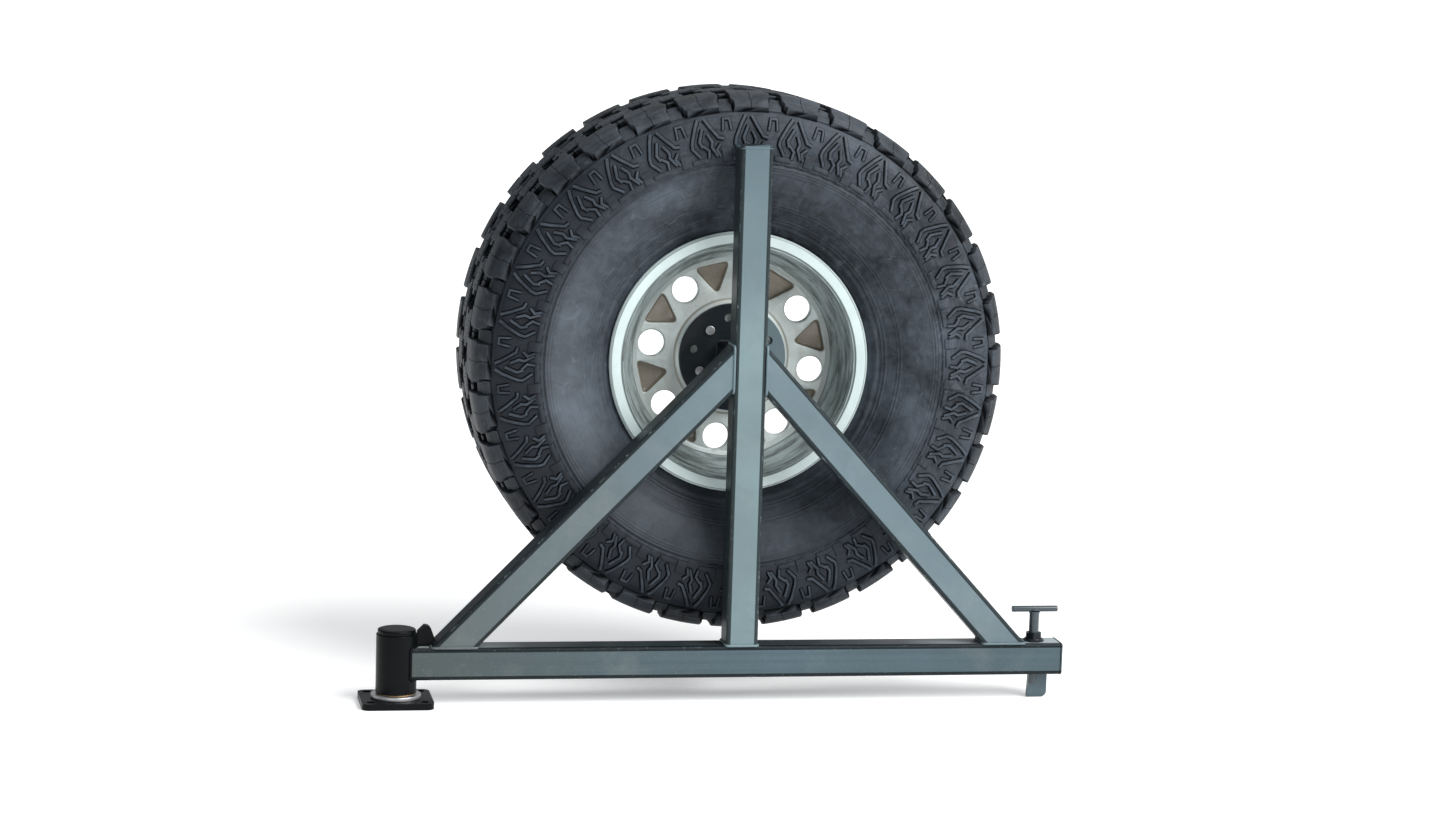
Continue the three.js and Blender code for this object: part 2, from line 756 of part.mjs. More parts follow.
function wheelDisc() {
  const windows = aroundCircle(WINDOW_COUNT, WINDOW_ANGLE, (angle) =>
    roundBar(WINDOW_R, RIM_BACK, RIM_BACK + RIM_WIDTH, SMALL_ROUND)
      .translate(...onCircle(WINDOW_CIRCLE_R, angle)));
  const pocketStep = 180 / POCKET_COUNT;
  const pockets = aroundCircle(POCKET_COUNT, WINDOW_ANGLE - pocketStep, (angle) =>
    extrude(pocketOutline(), POCKET_DEPTH + 1, 4)
      .rotateX(Math.PI / 2)
      .translate(0, WEB_BACK + POCKET_DEPTH, 0)
      .rotateY(Math.PI / 2 - angle));
  const face = HUB_FACE + HUB_THICK;
  const [coneLow, coneHigh] = seatCone(GAP);
  const lugHoles = aroundCircle(STUD_COUNT, STUD_ANGLE, (angle) =>
    turned([
      [0, HUB_FACE - 1],
      [LUG_HOLE_R, HUB_FACE - 1],
      coneLow,
      coneHigh,
      [coneHigh[0], face + 1],
      [0, face + 1],
    ], SMALL_ROUND).translate(...onCircle(STUD_CIRCLE_R, angle)));
  return cut(turned(discProfile(), LARGE_ROUND), ...windows, ...pockets, ...lugHoles);
}

// section of the tire in [radius, distance from the middle]: its outside, then its inside
function tireProfile() {
  const outer = [
    [427.5, 0],
    [426, 106],
    [416, 131],
    [392, 146],
    [315, 155],
    [260, 140],
    [212, 104],
    [208.6, 100.3],
    [199.5, 97],
    [192.2, 95],
  ];
  const inner = [
    [192.2, 80],
    [214, 88],
    [262, 127],
    [315, 143],
    [372, 134],
    [398, 90],
    [402, 0],
  ];
  const far = [...outer.slice(1), ...inner];
  const near = [...outer.slice(1), ...inner.slice(0, -1)].map(([radius, d]) => [radius, -d]).reverse();
  return [outer[0], ...far, ...near, outer[0]].map(([radius, d]) => [radius, TIRE_MIDDLE + d]);
}

function lugNut() {
  const face = HUB_FACE + HUB_THICK;
  const [coneLow, coneHigh] = seatCone(0);
  const corner = LUG_FLATS / Math.sqrt(3);
  const top = face + LUG_HEIGHT;
  const seat = turned([[0, coneLow[1]], [coneLow[0], coneLow[1]], coneHigh, [0, coneHigh[1]]], SMALL_ROUND);
  const hex = keep(
    roundBar(corner, face - 1, top, 6),
    turned([
      [0, face - 1],
      [corner, face - 1],
      [corner, top - LUG_CROWN],
      [corner - 3, top - 3],
      [corner - LUG_CROWN + 1, top],
      [0, top],
    ], SMALL_ROUND),
  );
  const bore = roundBar(STUD_R + GAP, PLATE_FAR, STUD_END + 2, SMALL_ROUND);
  return cut(join(seat, hex), bore);
}

// [radius, distance from the rim's wall]
function valveStem() {
  return placeValve(turned([
    [0, -13],
    [6.5, -13],
    [8, -9],
    [8, -7],
    [5.1, -7],
    [5.1, 7],
    [7.4, 7],
    [6.6, 11],
    [4.2, 16],
    [3.8, 25],
    [2.6, 25.2],
    [2.6, 33],
    [0, 33],
  ], SMALL_ROUND));
}

function valveCap() {
  return placeValve(turned([
    [2.9, 26],
    [4.6, 26],
    [4.6, 35],
    [3.6, 36.5],
    [0, 36.5],
    [0, 33.5],
    [2.9, 33.5],
    [2.9, 26],
  ], SMALL_ROUND));
}

const spareWheel = new THREE.Group();
spareWheel.position.copy(hub.position);
swing.add(spareWheel);

part(spareWheel, 'tire', turned(tireProfile(), LARGE_ROUND), rubber);
part(spareWheel, 'rim_front', rimFront(), castAlloy);
part(spareWheel, 'rim_back', turned(rimBackProfile(), LARGE_ROUND), castAlloy);
part(spareWheel, 'wheel_disc', wheelDisc(), castAlloy);
part(spareWheel, 'valve_stem', valveStem(), rubber);
part(spareWheel, 'valve_cap', valveCap(), plastic);
aroundCircle(STUD_COUNT, STUD_ANGLE, (angle) => onCircle(STUD_CIRCLE_R, angle)).forEach((place, i) => {
  part(spareWheel, `lug_nut_${i + 1}`, lugNut(), zinc, place);
});

export default assembly;
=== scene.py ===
"""Looks of the swing-out spare tire carrier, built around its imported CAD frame. Metres, +Z up."""

import math

import bmesh
import bpy
import numpy as np
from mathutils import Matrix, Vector


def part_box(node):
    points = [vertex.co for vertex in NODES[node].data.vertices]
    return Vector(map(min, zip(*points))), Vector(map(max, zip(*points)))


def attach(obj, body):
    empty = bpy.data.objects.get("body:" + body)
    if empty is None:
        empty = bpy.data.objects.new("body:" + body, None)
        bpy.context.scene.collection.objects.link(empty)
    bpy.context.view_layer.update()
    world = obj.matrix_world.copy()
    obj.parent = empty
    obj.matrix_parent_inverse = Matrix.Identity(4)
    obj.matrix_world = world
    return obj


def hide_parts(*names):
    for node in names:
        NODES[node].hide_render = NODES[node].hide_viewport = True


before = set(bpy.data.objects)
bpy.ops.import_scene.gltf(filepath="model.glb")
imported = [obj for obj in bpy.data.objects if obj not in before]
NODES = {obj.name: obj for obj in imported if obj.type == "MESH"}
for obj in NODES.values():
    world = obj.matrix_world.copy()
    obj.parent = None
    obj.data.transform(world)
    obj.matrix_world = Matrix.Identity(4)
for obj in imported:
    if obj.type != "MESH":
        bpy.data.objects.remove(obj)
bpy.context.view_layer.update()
MM = 0.001
X, Y, Z = Vector((1, 0, 0)), Vector((0, 1, 0)), Vector((0, 0, 1))

# ---- camera

CAMERA_PLACE = (-0.519, -5.498, 1.285)
CAMERA_TURN = (81.685, -1.739, -10.272)  # degrees about X, Y and Z
CAMERA_LENS = 90.16

camera = bpy.data.objects.new("camera", bpy.data.cameras.new("camera"))
camera.location = CAMERA_PLACE
camera.rotation_euler = [math.radians(angle) for angle in CAMERA_TURN]
camera.data.lens = CAMERA_LENS
camera.data.sensor_width = 36
camera.data.clip_end = 500
bpy.context.scene.collection.objects.link(camera)
bpy.context.scene.camera = camera
bpy.context.scene.view_settings.view_transform = "Standard"

# ---- places taken from the frame


def middle(node):
    low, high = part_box(node)
    return (low + high) / 2


def mm(value):
    return value / MM


ARM_LOW, ARM_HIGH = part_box("main_arm")
POST_LOW, POST_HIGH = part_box("center_post")
PLATE_LOW, PLATE_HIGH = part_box("wheel_plate")
RIM_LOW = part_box("rim_back")[0]
RIM_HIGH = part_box("rim_front")[1]
SLEEVE_LOW, SLEEVE_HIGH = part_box("hinge_sleeve")
CAP_LOW, CAP_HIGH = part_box("dust_cap")
STEM_LOW, STEM_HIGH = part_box("t_handle_stem")

AXIS = middle("wheel_plate")  # the wheel's axis runs along Y through this point
ARM_TOP = ARM_HIGH.z
HALF_TUBE = (ARM_HIGH.y - ARM_LOW.y) / 2
POST_X = middle("center_post").x
TIRE_MIDDLE = middle("tire").y
RIM_BACK = RIM_LOW.y
SEAM = 0.3 * MM  # the gap left between welded pieces

# ---- meshes


class Shape:
    """The points and faces of one piece, collected solid by solid."""

    def __init__(self):
        self.points = []
        self.faces = []
        self.marks = []

    def sheet(self, rows, wrap_rows=False, wrap_columns=True, caps=False, marks=None):
        """Joins rows of points, all of one length, into a surface. marks holds a number for each column."""
        first = len(self.points)
        count, width = len(rows), len(rows[0])
        for row in rows:
            self.points.extend(tuple(p) for p in row)
            self.marks.extend(marks if marks is not None else [0] * width)
        for i in range(count if wrap_rows else count - 1):
            here = first + i * width
            there = first + (i + 1) % count * width
            for j in range(width if wrap_columns else width - 1):
                k = (j + 1) % width
                self.faces.append((here + j, here + k, there + k, there + j))
        if caps:
            self.faces.append(tuple(range(first + width - 1, first - 1, -1)))
            last = first + (count - 1) * width
            self.faces.append(tuple(range(last, last + width)))


CREASE = 32  # degrees: a smaller angle between two faces is shaded smooth


def smooth(mesh, crease):
    mesh.shade_smooth()
    mesh.set_sharp_from_angle(angle=math.radians(crease))


SAME_PLACE = 2e-6  # metres: points closer than this are merged


def tidy(mesh):
    """Merges doubled points, drops faces without area and turns all faces outwards."""
    work = bmesh.new()
    work.from_mesh(mesh)
    bmesh.ops.remove_doubles(work, verts=work.verts, dist=SAME_PLACE)
    bmesh.ops.dissolve_degenerate(work, edges=work.edges, dist=SAME_PLACE / 2)
    bmesh.ops.recalc_face_normals(work, faces=work.faces)
    work.to_mesh(mesh)
    work.free()


def plain_object(name, shape):
    mesh = bpy.data.meshes.new(name)
    mesh.from_pydata(shape.points, [], shape.faces)
    mark = mesh.attributes.new("edge_mark", "FLOAT", "POINT")
    mark.data.foreach_set("value", np.array(shape.marks, np.float32))
    tidy(mesh)
    obj = bpy.data.objects.new(name, mesh)
    bpy.context.scene.collection.objects.link(obj)
    return obj


def settle(obj, material, body, replaces, crease=CREASE):
    """Gives a finished mesh its material and its body, and hides the CAD nodes that it replaces."""
    obj.data.materials.clear()
    obj.data.materials.append(material)
    smooth(obj.data, crease)
    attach(obj, body)
    if replaces:
        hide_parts(*replaces)
    return obj


def piece(name, shape, material, body, replaces=(), crease=CREASE):
    return settle(plain_object(name, shape), material, body, replaces, crease)


def cut(obj, *cutters):
    """Takes the cutters' solids out of a mesh object."""
    for shape in cutters:
        tool = plain_object("cutter", shape)
        modifier = obj.modifiers.new("cut", "BOOLEAN")
        modifier.operation = "DIFFERENCE"
        modifier.solver = "EXACT"
        modifier.object = tool
        bpy.context.view_layer.update()
        shown = obj.evaluated_get(bpy.context.evaluated_depsgraph_get())
        mesh = bpy.data.meshes.new_from_object(shown)
        obj.modifiers.clear()
        obj.data = mesh
        bpy.data.objects.remove(tool)
    return obj


def rounded(corners, closed=False, steps=5):
    """A line through (x, y, radius) corners, with each corner rounded off."""
    line = []
    for i, (x, y, radius) in enumerate(corners):
        at_end = not closed and i in (0, len(corners) - 1)
        here = np.array((x, y), float)
        if radius == 0 or at_end:
            line.append(here)
            continue
        back = np.array(corners[i - 1][:2], float) - here
        ahead = np.array(corners[(i + 1) % len(corners)][:2], float) - here
        back_length, ahead_length = np.linalg.norm(back), np.linalg.norm(ahead)
        back, ahead = back / back_length, ahead / ahead_length
        half = math.acos(max(-1, min(1, back @ ahead))) / 2
        reach = min(radius / math.tan(half), 0.48 * back_length, 0.48 * ahead_length)
        for k in range(steps + 1):
            t = k / steps
            line.append(here + back * reach * (1 - t) ** 2 + ahead * reach * t**2)
    return line


def compass(axis):
    """An axis with two directions square to it."""
    axis = Vector(axis).normalized()
    first = axis.orthogonal().normalized()
    return axis, first, axis.cross(first)


def lathe(shape, profile, centre, axis, sides, closed=False):
    """Turns (radius, height) points in millimetres about an axis through centre.

    An open line starts and ends on the axis.
    """
    axis, first, second = compass(axis)
    rows = []
    for i in range(sides):
        angle = 2 * math.pi * i / sides
        out = first * math.cos(angle) + second * math.sin(angle)
        rows.append([Vector(centre) + out * (r * MM) + axis * (h * MM) for r, h in profile])
    shape.sheet(rows, wrap_rows=True, wrap_columns=closed)


def turned_piece(name, corners, centre, axis, material, body, replaces, sides, closed=False):
    shape = Shape()
    lathe(shape, rounded(corners, closed), centre, axis, sides, closed)
    return piece(name, shape, material, body, replaces)


def wheel_point(angle, radius, y):
    """A point given round the wheel's axis, in millimetres, with y in metres."""
    return Vector((AXIS.x + radius * MM * math.cos(angle), y, AXIS.z + radius * MM * math.sin(angle)))


# ---- materials


class Nodes:
    """Builds the node tree of one material."""

    def __init__(self, name):
        self.material = bpy.data.materials.new(name)
        self.material.use_nodes = True
        self.tree = self.material.node_tree
        self.shader = self.tree.nodes["Principled BSDF"]
        self.coordinates = self.tree.nodes.new("ShaderNodeTexCoord").outputs["Object"]

    def link(self, value, socket):
        if isinstance(value, bpy.types.NodeSocket):
            self.tree.links.new(value, socket)
        else:
            socket.default_value = value

    def math(self, operation, a, b=0, clamp=False):
        node = self.tree.nodes.new("ShaderNodeMath")
        node.operation = operation
        node.use_clamp = clamp
        self.link(a, node.inputs[0])
        self.link(b, node.inputs[1])
        return node.outputs[0]

    def times(self, a, b):
        return self.math("MULTIPLY", a, b)

    def noise(self, scale, detail=3, roughness=0.5, distortion=0, vector=None):
        node = self.tree.nodes.new("ShaderNodeTexNoise")
        self.link(self.coordinates if vector is None else vector, node.inputs["Vector"])
        node.inputs["Scale"].default_value = scale
        node.inputs["Detail"].default_value = detail
        node.inputs["Roughness"].default_value = roughness
        node.inputs["Distortion"].default_value = distortion
        return node.outputs["Fac"]

    def stretch(self, scales):
        node = self.tree.nodes.new("ShaderNodeMapping")
        self.link(self.coordinates, node.inputs["Vector"])
        node.inputs["Scale"].default_value = scales
        return node.outputs["Vector"]

    def ramp(self, value, stops):
        """A smooth curve from value to a number or colour, through (place, number or colour) stops."""
        node = self.tree.nodes.new("ShaderNodeValToRGB")
        self.link(value, node.inputs[0])
        while len(node.color_ramp.elements) < len(stops):
            node.color_ramp.elements.new(0.5)
        for element, (place, level) in zip(node.color_ramp.elements, stops):
            element.position = place
            colour = (level,) * 3 if isinstance(level, (int, float)) else level
            element.color = (*colour, 1)
        return node.outputs["Color"]

    def fade(self, value, low, high, start=0, end=1):
        """start while value is under low, end once it is over high, and a slope between."""
        return self.ramp(value, [(low, start), (high, end)])

    def mix(self, share, a, b):
        node = self.tree.nodes.new("ShaderNodeMix")
        node.data_type = "RGBA"
        self.link(share, node.inputs[0])
        self.link((*a, 1) if isinstance(a, tuple) else a, node.inputs[6])
        self.link((*b, 1) if isinstance(b, tuple) else b, node.inputs[7])
        return node.outputs[2]

    def cover(self, base, mask, share, colour):
        """Lays a share of a colour over base where mask is light."""
        return self.mix(self.times(mask, share), base, colour)

    def attribute(self, name):
        node = self.tree.nodes.new("ShaderNodeAttribute")
        node.attribute_name = name
        return node.outputs["Fac"]

    def vector_of(self, a, b):
        node = self.tree.nodes.new("ShaderNodeCombineXYZ")
        self.link(a, node.inputs[0])
        self.link(b, node.inputs[1])
        return node.outputs[0]

    def axes(self):
        node = self.tree.nodes.new("ShaderNodeSeparateXYZ")
        self.link(self.coordinates, node.inputs[0])
        return node.outputs

    def wheel_radius(self):
        """Distance from the wheel's axis, in millimetres."""
        x, _, z = self.axes()
        dx = self.math("SUBTRACT", x, AXIS.x)
        dz = self.math("SUBTRACT", z, AXIS.z)
        square = self.math("ADD", self.times(dx, dx), self.times(dz, dz))
        return self.math("DIVIDE", self.math("SQRT", square), MM)

    def wheel_angle(self):
        """Direction from the wheel's axis, in radians, with zero along X."""
        x, _, z = self.axes()
        return self.math("ARCTAN2", self.math("SUBTRACT", z, AXIS.z), self.math("SUBTRACT", x, AXIS.x))

    def bump(self, *layers):
        """Adds (height, strength, distance in millimetres) layers of relief."""
        normal = None
        for height, strength, distance in layers:
            node = self.tree.nodes.new("ShaderNodeBump")
            node.inputs["Strength"].default_value = strength
            node.inputs["Distance"].default_value = distance * MM
            self.link(height, node.inputs["Height"])
            if normal is not None:
                self.link(normal, node.inputs["Normal"])
            normal = node.outputs[0]
        self.link(normal, self.shader.inputs["Normal"])

    def finish(self, colour, roughness, metallic=0):
        self.link(colour, self.shader.inputs["Base Color"])
        self.link(roughness, self.shader.inputs["Roughness"])
        self.shader.inputs["Metallic"].default_value = metallic
        return self.material


def darker(colour, share):
    return tuple(c * share for c in colour)


def paint(name, colour, wear=(0.3, 0.36, 0.38), roughness=0.36, dust=(0.33, 0.33, 0.31),
          specular=0.5, hinge_side_shade=None, on_arm=False, light_shift=None):
    """Satin powder coat: cloudy colour, orange peel, dust specks, and painted shade along the corners and on
    marked side faces.

    hinge_side_shade is the colour that the paint turns to towards the hinge: painted shade. light_shift is
    (axis, low, high, colour), the colour that it turns to along an axis: painted light where lighter, painted
    shade where darker. on_arm paints the tire's shadow on the middle of the arm's upper face and highlights
    near its ends, and adds dirt streaks.
    """
    n = Nodes(name)
    clouds = n.noise(5, 4, 0.6)
    base = n.mix(n.fade(clouds, 0.35, 0.65), darker(colour, 0.88), darker(colour, 1.1))
    # the paint turns darker towards the hinge: painted shade
    if hinge_side_shade:
        base = n.mix(n.fade(n.axes()[0], 0, 0.55, 1, 0), base, hinge_side_shade)
    # the paint turns to another colour along an axis: painted light where lighter, painted shade where darker
    if light_shift:
        axis, low, high, tone = light_shift
        base = n.mix(n.fade(n.axes()[axis], low, high), base, tone)
    if on_arm:
        height = n.math("DIVIDE", n.math("SUBTRACT", n.axes()[2], ARM_TOP - 1.4 * MM), MM)
        # the arm's upper face: painted shadow of the tire along its middle, painted highlights near its ends
        upper = n.ramp(n.axes()[0], [(0.1, (0.26, 0.3, 0.31)), (0.2, (0.012, 0.016, 0.018)),
                                     (0.8, (0.012, 0.016, 0.018)), (0.95, (0.4, 0.47, 0.5))])
        base = n.mix(n.fade(height, 0, 1, 0, 0.85), base, upper)
        streaks = n.noise(1, 5, 0.6, vector=n.stretch((1.2, 60, 150)))
        base = n.cover(base, n.fade(streaks, 0.45, 0.62), 0.3, darker(colour, 0.55))
    smudge = n.fade(n.noise(21, 5, 0.62, 0.6), 0.56, 0.72)
    base = n.cover(base, smudge, 0.22, darker(colour, 0.62))
    dusty = n.fade(n.noise(9, 6, 0.7), 0.52, 0.75)
    base = n.cover(base, dusty, 0.16, dust)
    # edge_mark darkens the corners and the marked side faces almost to black: painted shade
    rim = n.fade(n.attribute("edge_mark"), 0.3, 0.75)
    base = n.cover(base, rim, 0.9, darker(colour, 0.07))
    tip = n.fade(n.attribute("edge_mark"), 0.93, 1, 0, 0.24)
    worn = n.fade(n.math("ADD", tip, n.noise(60, 5, 0.7)), 0.78, 0.95)
    base = n.cover(base, worn, 0.6, wear)
    specks = n.fade(n.noise(420, 2), 0.66, 0.72)
    base = n.cover(base, specks, 0.18, dust)
    shine = n.fade(clouds, 0.3, 0.7, roughness - 0.05, roughness + 0.08)
    shine = n.math("ADD", shine, n.times(dusty, 0.14))
    peel = n.noise(520, 2, 0.5)
    waves = n.noise(90, 2, 0.5)
    n.bump((peel, 0.1, 0.12), (waves, 0.06, 0.3))
    gloss = n.mix(rim, (specular,) * 3, (specular * 0.3,) * 3)
    n.link(gloss, n.shader.inputs["Specular IOR Level"])
    return n.finish(base, shine)


RELIEF_SHADE = 1.1  # how strongly painted shade lies over the relief band, on the side away from the light
LIT_SIDE = 0.35  # the direction round the wheel, in radians, from which the painted light falls, where the shoulder is left lightest
BAND_SCALE = 500  # millimetres. Ramps run from 0 to 1, so they are given radii as shares of this
CREVICE_SHADE = (0.001, 0.0014, 0.002)


def rubber(name, dark, light, shade=1):
    """Weathered rubber: cloudy, dusty in places, with fine mould lines and grain; painted shade in its
    crevices, on the side away from the light and towards the bottom, painted sheen on the inner sidewall and
    painted highlights on worn raised tops.
    """
    n = Nodes(name)
    radius = n.wheel_radius()
    angle = n.wheel_angle()
    clouds = n.noise(6, 6, 0.62, 0.5)
    mottle = n.noise(42, 6, 0.7, 0.8)
    share = n.math("ADD", n.times(clouds, 0.62), n.times(mottle, 0.38))
    base = n.mix(n.fade(share, 0.4, 0.64), dark, light)
    scuff = n.fade(n.noise(24, 8, 0.75, 1.4), 0.56, 0.74)
    base = n.cover(base, scuff, 0.45, (0.16, 0.18, 0.2))
    swirl = n.vector_of(n.times(radius, 0.3), n.times(angle, 3))
    streak = n.noise(1, 5, 0.65, 0.4, vector=swirl)
    base = n.cover(base, n.fade(streak, 0.5, 0.66), 0.45, dark)
    place = n.math("DIVIDE", radius, BAND_SCALE)
    band = n.fade(place, 0.595, 0.665)
    # the relief band turns dark on the side away from the light: painted shade
    facing = n.math("COSINE", n.math("SUBTRACT", angle, LIT_SIDE))
    left = n.math("SUBTRACT", 0.5, n.times(facing, 0.5))
    base = n.cover(base, n.times(band, left), RELIEF_SHADE * shade, dark)
    # the inner sidewall turns lighter on the side away from the light: painted sheen
    inside = n.times(n.math("SUBTRACT", 1, band), n.times(left, left))
    inside = n.times(inside, n.fade(place, 0.43, 0.53, 0.35, 1))
    base = n.cover(base, inside, 0.3 * shade, (0.17, 0.2, 0.235))
    # darker towards the bottom of the tire: painted shade
    shade_below = n.fade(n.times(n.math("SINE", angle), -1), 0.2, 0.95, 0, 0.55)
    base = n.cover(base, shade_below, shade, dark)
    marks = n.attribute("edge_mark")
    # marks under zero paint shade into crevices and the feet of raised parts; marks over zero paint a
    # highlight on raised tops, broken into patches like wear
    corner = n.fade(n.times(marks, -1), 0.05, 0.7)
    crown = n.fade(marks, 0.15, 0.9)
    worn = n.fade(n.noise(34, 4, 0.7), 0.4, 0.62, 0.25, 1)
    crown = n.times(crown, worn)
    base = n.cover(base, corner, 0.95, CREVICE_SHADE)
    base = n.cover(base, crown, 0.55, light)
    shine = n.fade(clouds, 0.3, 0.7, 0.48, 0.66)
    gloss = n.mix(corner, (0.26, 0.26, 0.26), (0.03, 0.03, 0.03))
    n.link(gloss, n.shader.inputs["Specular IOR Level"])
    rings = n.math("SINE", n.times(radius, 2.1))
    spokes = n.math("SINE", n.times(angle, 900))
    ribbed = n.ramp(place, [(0.505, 0), (0.515, 1), (0.565, 1), (0.575, 0)])
    grain = n.noise(700, 3, 0.6)
    n.bump(
        (grain, 0.3, 0.25),
        (n.noise(110, 5, 0.65), 0.4, 0.9),
        (rings, 0.05, 0.2),
        (n.times(spokes, ribbed), 0.12, 0.3),
    )
    return n.finish(base, shine)


def alloy(name, colour, dust_share, dust, metallic=0.25, streaks=0, groove_shades=()):
    """Lacquered cast alloy: fine casting grain, brake dust and dried mud in arcs and streaks, and painted
    shade along its grooves.
    """
    n = Nodes(name)
    radius = n.wheel_radius()
    angle = n.wheel_angle()
    clouds = n.noise(16, 5, 0.6)
    base = n.mix(n.fade(clouds, 0.3, 0.7), darker(colour, 0.9), darker(colour, 1.06))
    ring_noise = n.noise(0.05, 4, 0.6, vector=n.vector_of(radius, n.times(angle, 9)))
    arcs = n.fade(ring_noise, 0.48, 0.66)
    patches = n.fade(n.noise(10, 6, 0.7, 0.8), 0.4, 0.72)
    film = n.math("ADD", n.times(arcs, 0.55), n.times(patches, 0.75), clamp=True)
    base = n.cover(base, film, dust_share, dust)
    spots = n.fade(n.noise(190, 3, 0.6), 0.62, 0.7)
    base = n.cover(base, spots, dust_share * 0.7, darker(dust, 0.6))
    # dark lines along the grooves and steps: painted shade
    for groove, half_width, tone in groove_shades:
        off = n.math("ABSOLUTE", n.math("SUBTRACT", radius, groove))
        line = n.fade(n.math("DIVIDE", off, half_width), 0.55, 1, 1, 0)
        base = n.cover(base, line, 0.8, tone)
    if streaks:
        depth = n.times(n.axes()[1], 130)
        lines = n.noise(1, 5, 0.7, 0.4, vector=n.vector_of(depth, n.times(angle, 2.2)))
        base = n.cover(base, n.fade(lines, 0.45, 0.6), streaks, (0.065, 0.072, 0.07))
    shine = n.math("ADD", n.times(film, 0.35), 0.3)
    n.bump((n.noise(600, 3), 0.12, 0.15), (n.noise(60, 3), 0.05, 0.4))
    return n.finish(base, shine, metallic)


def plated(name, colour, roughness, stain):
    """Plated or bare metal with fine machining marks, fingerprints and stains."""
    n = Nodes(name)
    clouds = n.noise(60, 4, 0.6)
    base = n.mix(n.fade(clouds, 0.35, 0.7), colour, darker(colour, 0.78))
    spots = n.fade(n.noise(220, 4, 0.65), 0.58, 0.7)
    base = n.cover(base, spots, 0.4, stain)
    shine = n.fade(clouds, 0.3, 0.7, roughness - 0.08, roughness + 0.12)
    turning = n.noise(30, 2, vector=n.stretch((4, 60, 60)))
    n.bump((turning, 0.1, 0.08), (n.noise(900, 2), 0.08, 0.06))
    return n.finish(base, shine, metallic=0.9)


def plastic(name, colour, roughness):
    n = Nodes(name)
    clouds = n.noise(120, 3)
    base = n.mix(clouds, darker(colour, 0.8), darker(colour, 1.3))
    n.bump((n.noise(1400, 2), 0.2, 0.08))
    return n.finish(base, n.fade(clouds, 0.3, 0.7, roughness - 0.05, roughness + 0.08))


# the post turns darker towards its top: painted shade
FRAME_PAINT = paint("frame_paint", (0.148, 0.215, 0.232), light_shift=(2, 0.58, 0.86, (0.09, 0.138, 0.162)))
# a darker copy of the frame's paint for the braces: painted shade
BRACE_PAINT = paint("brace_paint", (0.118, 0.172, 0.198), hinge_side_shade=(0.066, 0.08, 0.078))
ARM_PAINT = paint("arm_paint", (0.054, 0.092, 0.112), wear=(0.15, 0.19, 0.21), hinge_side_shade=(0.046, 0.06, 0.058),
                  on_arm=True)
HARDWARE_PAINT = paint("hardware_paint", (0.042, 0.06, 0.069), wear=(0.2, 0.24, 0.26), roughness=0.24)
DARK_LOOK = {"colour": (0.008, 0.012, 0.015), "wear": (0.1, 0.12, 0.13), "roughness": 0.27,
             "dust": (0.06, 0.07, 0.07), "specular": 0.25}
DARK_PAINT = paint("dark_paint", **DARK_LOOK)
# the plate turns lighter to the right of the post: painted sheen
PLATE_PAINT = paint("plate_paint", **DARK_LOOK, light_shift=(0, 0.55, 0.59, (0.12, 0.17, 0.19)))
BLACK_PAINT = paint("black_paint", (0.0025, 0.0035, 0.004), wear=(0.02, 0.023, 0.026), roughness=0.32,
                    dust=(0.02, 0.021, 0.02), specular=0.1)
RUBBER = rubber("tire_rubber", (0.009, 0.012, 0.017), (0.073, 0.091, 0.114))
TREAD = rubber("tread_rubber", (0.008, 0.01, 0.013), (0.066, 0.08, 0.098), shade=0.35)
ALLOY = alloy("alloy_lip", (0.66, 0.78, 0.77), 0.14, dust=(0.36, 0.4, 0.38), metallic=0.15,
              groove_shades=[(188, 1.6, (0.16, 0.19, 0.19)), (204.3, 1, (0.2, 0.24, 0.24))])
# the rim's inner wall: a darker copy of the lip's alloy as painted shade, with more dust and dirt streaks
ALLOY_WALL = alloy("alloy_wall", (0.44, 0.53, 0.525), 0.35, dust=(0.25, 0.26, 0.24), streaks=0.75)
ALLOY_WEB = alloy("alloy_web", (0.58, 0.65, 0.64), 0.42, dust=(0.37, 0.36, 0.31),
                  groove_shades=[(92.5, 2.2, (0.27, 0.255, 0.21))])
ALLOY_POCKET = alloy("alloy_pocket", (0.27, 0.245, 0.205), 0.7, dust=(0.2, 0.165, 0.115))
ZINC = plated("zinc_steel", (0.62, 0.63, 0.64), 0.32, (0.36, 0.34, 0.28))
BRONZE = plated("bronze", (0.55, 0.36, 0.17), 0.38, (0.18, 0.11, 0.05))
VALVE_RUBBER = plastic("valve_rubber", (0.016, 0.016, 0.017), 0.62)
CAP_PLASTIC = plastic("cap_plastic", (0.018, 0.018, 0.018), 0.45)

# ---- square tubes

TUBE_CORNER = 5.2
TUBE_WALL = 4.76
TUBE_EDGE = 0.4  # how far a tube's cut end is rounded over
INNER_CORNER = 1.5
EDGE_SHADE = 1  # millimetres of flat beside a corner where shade is painted
CORNER_STEPS = 8
FLAT_MARK = 0.8  # the edge mark beside a corner, and on the side faces of the post and braces, which paints shade there


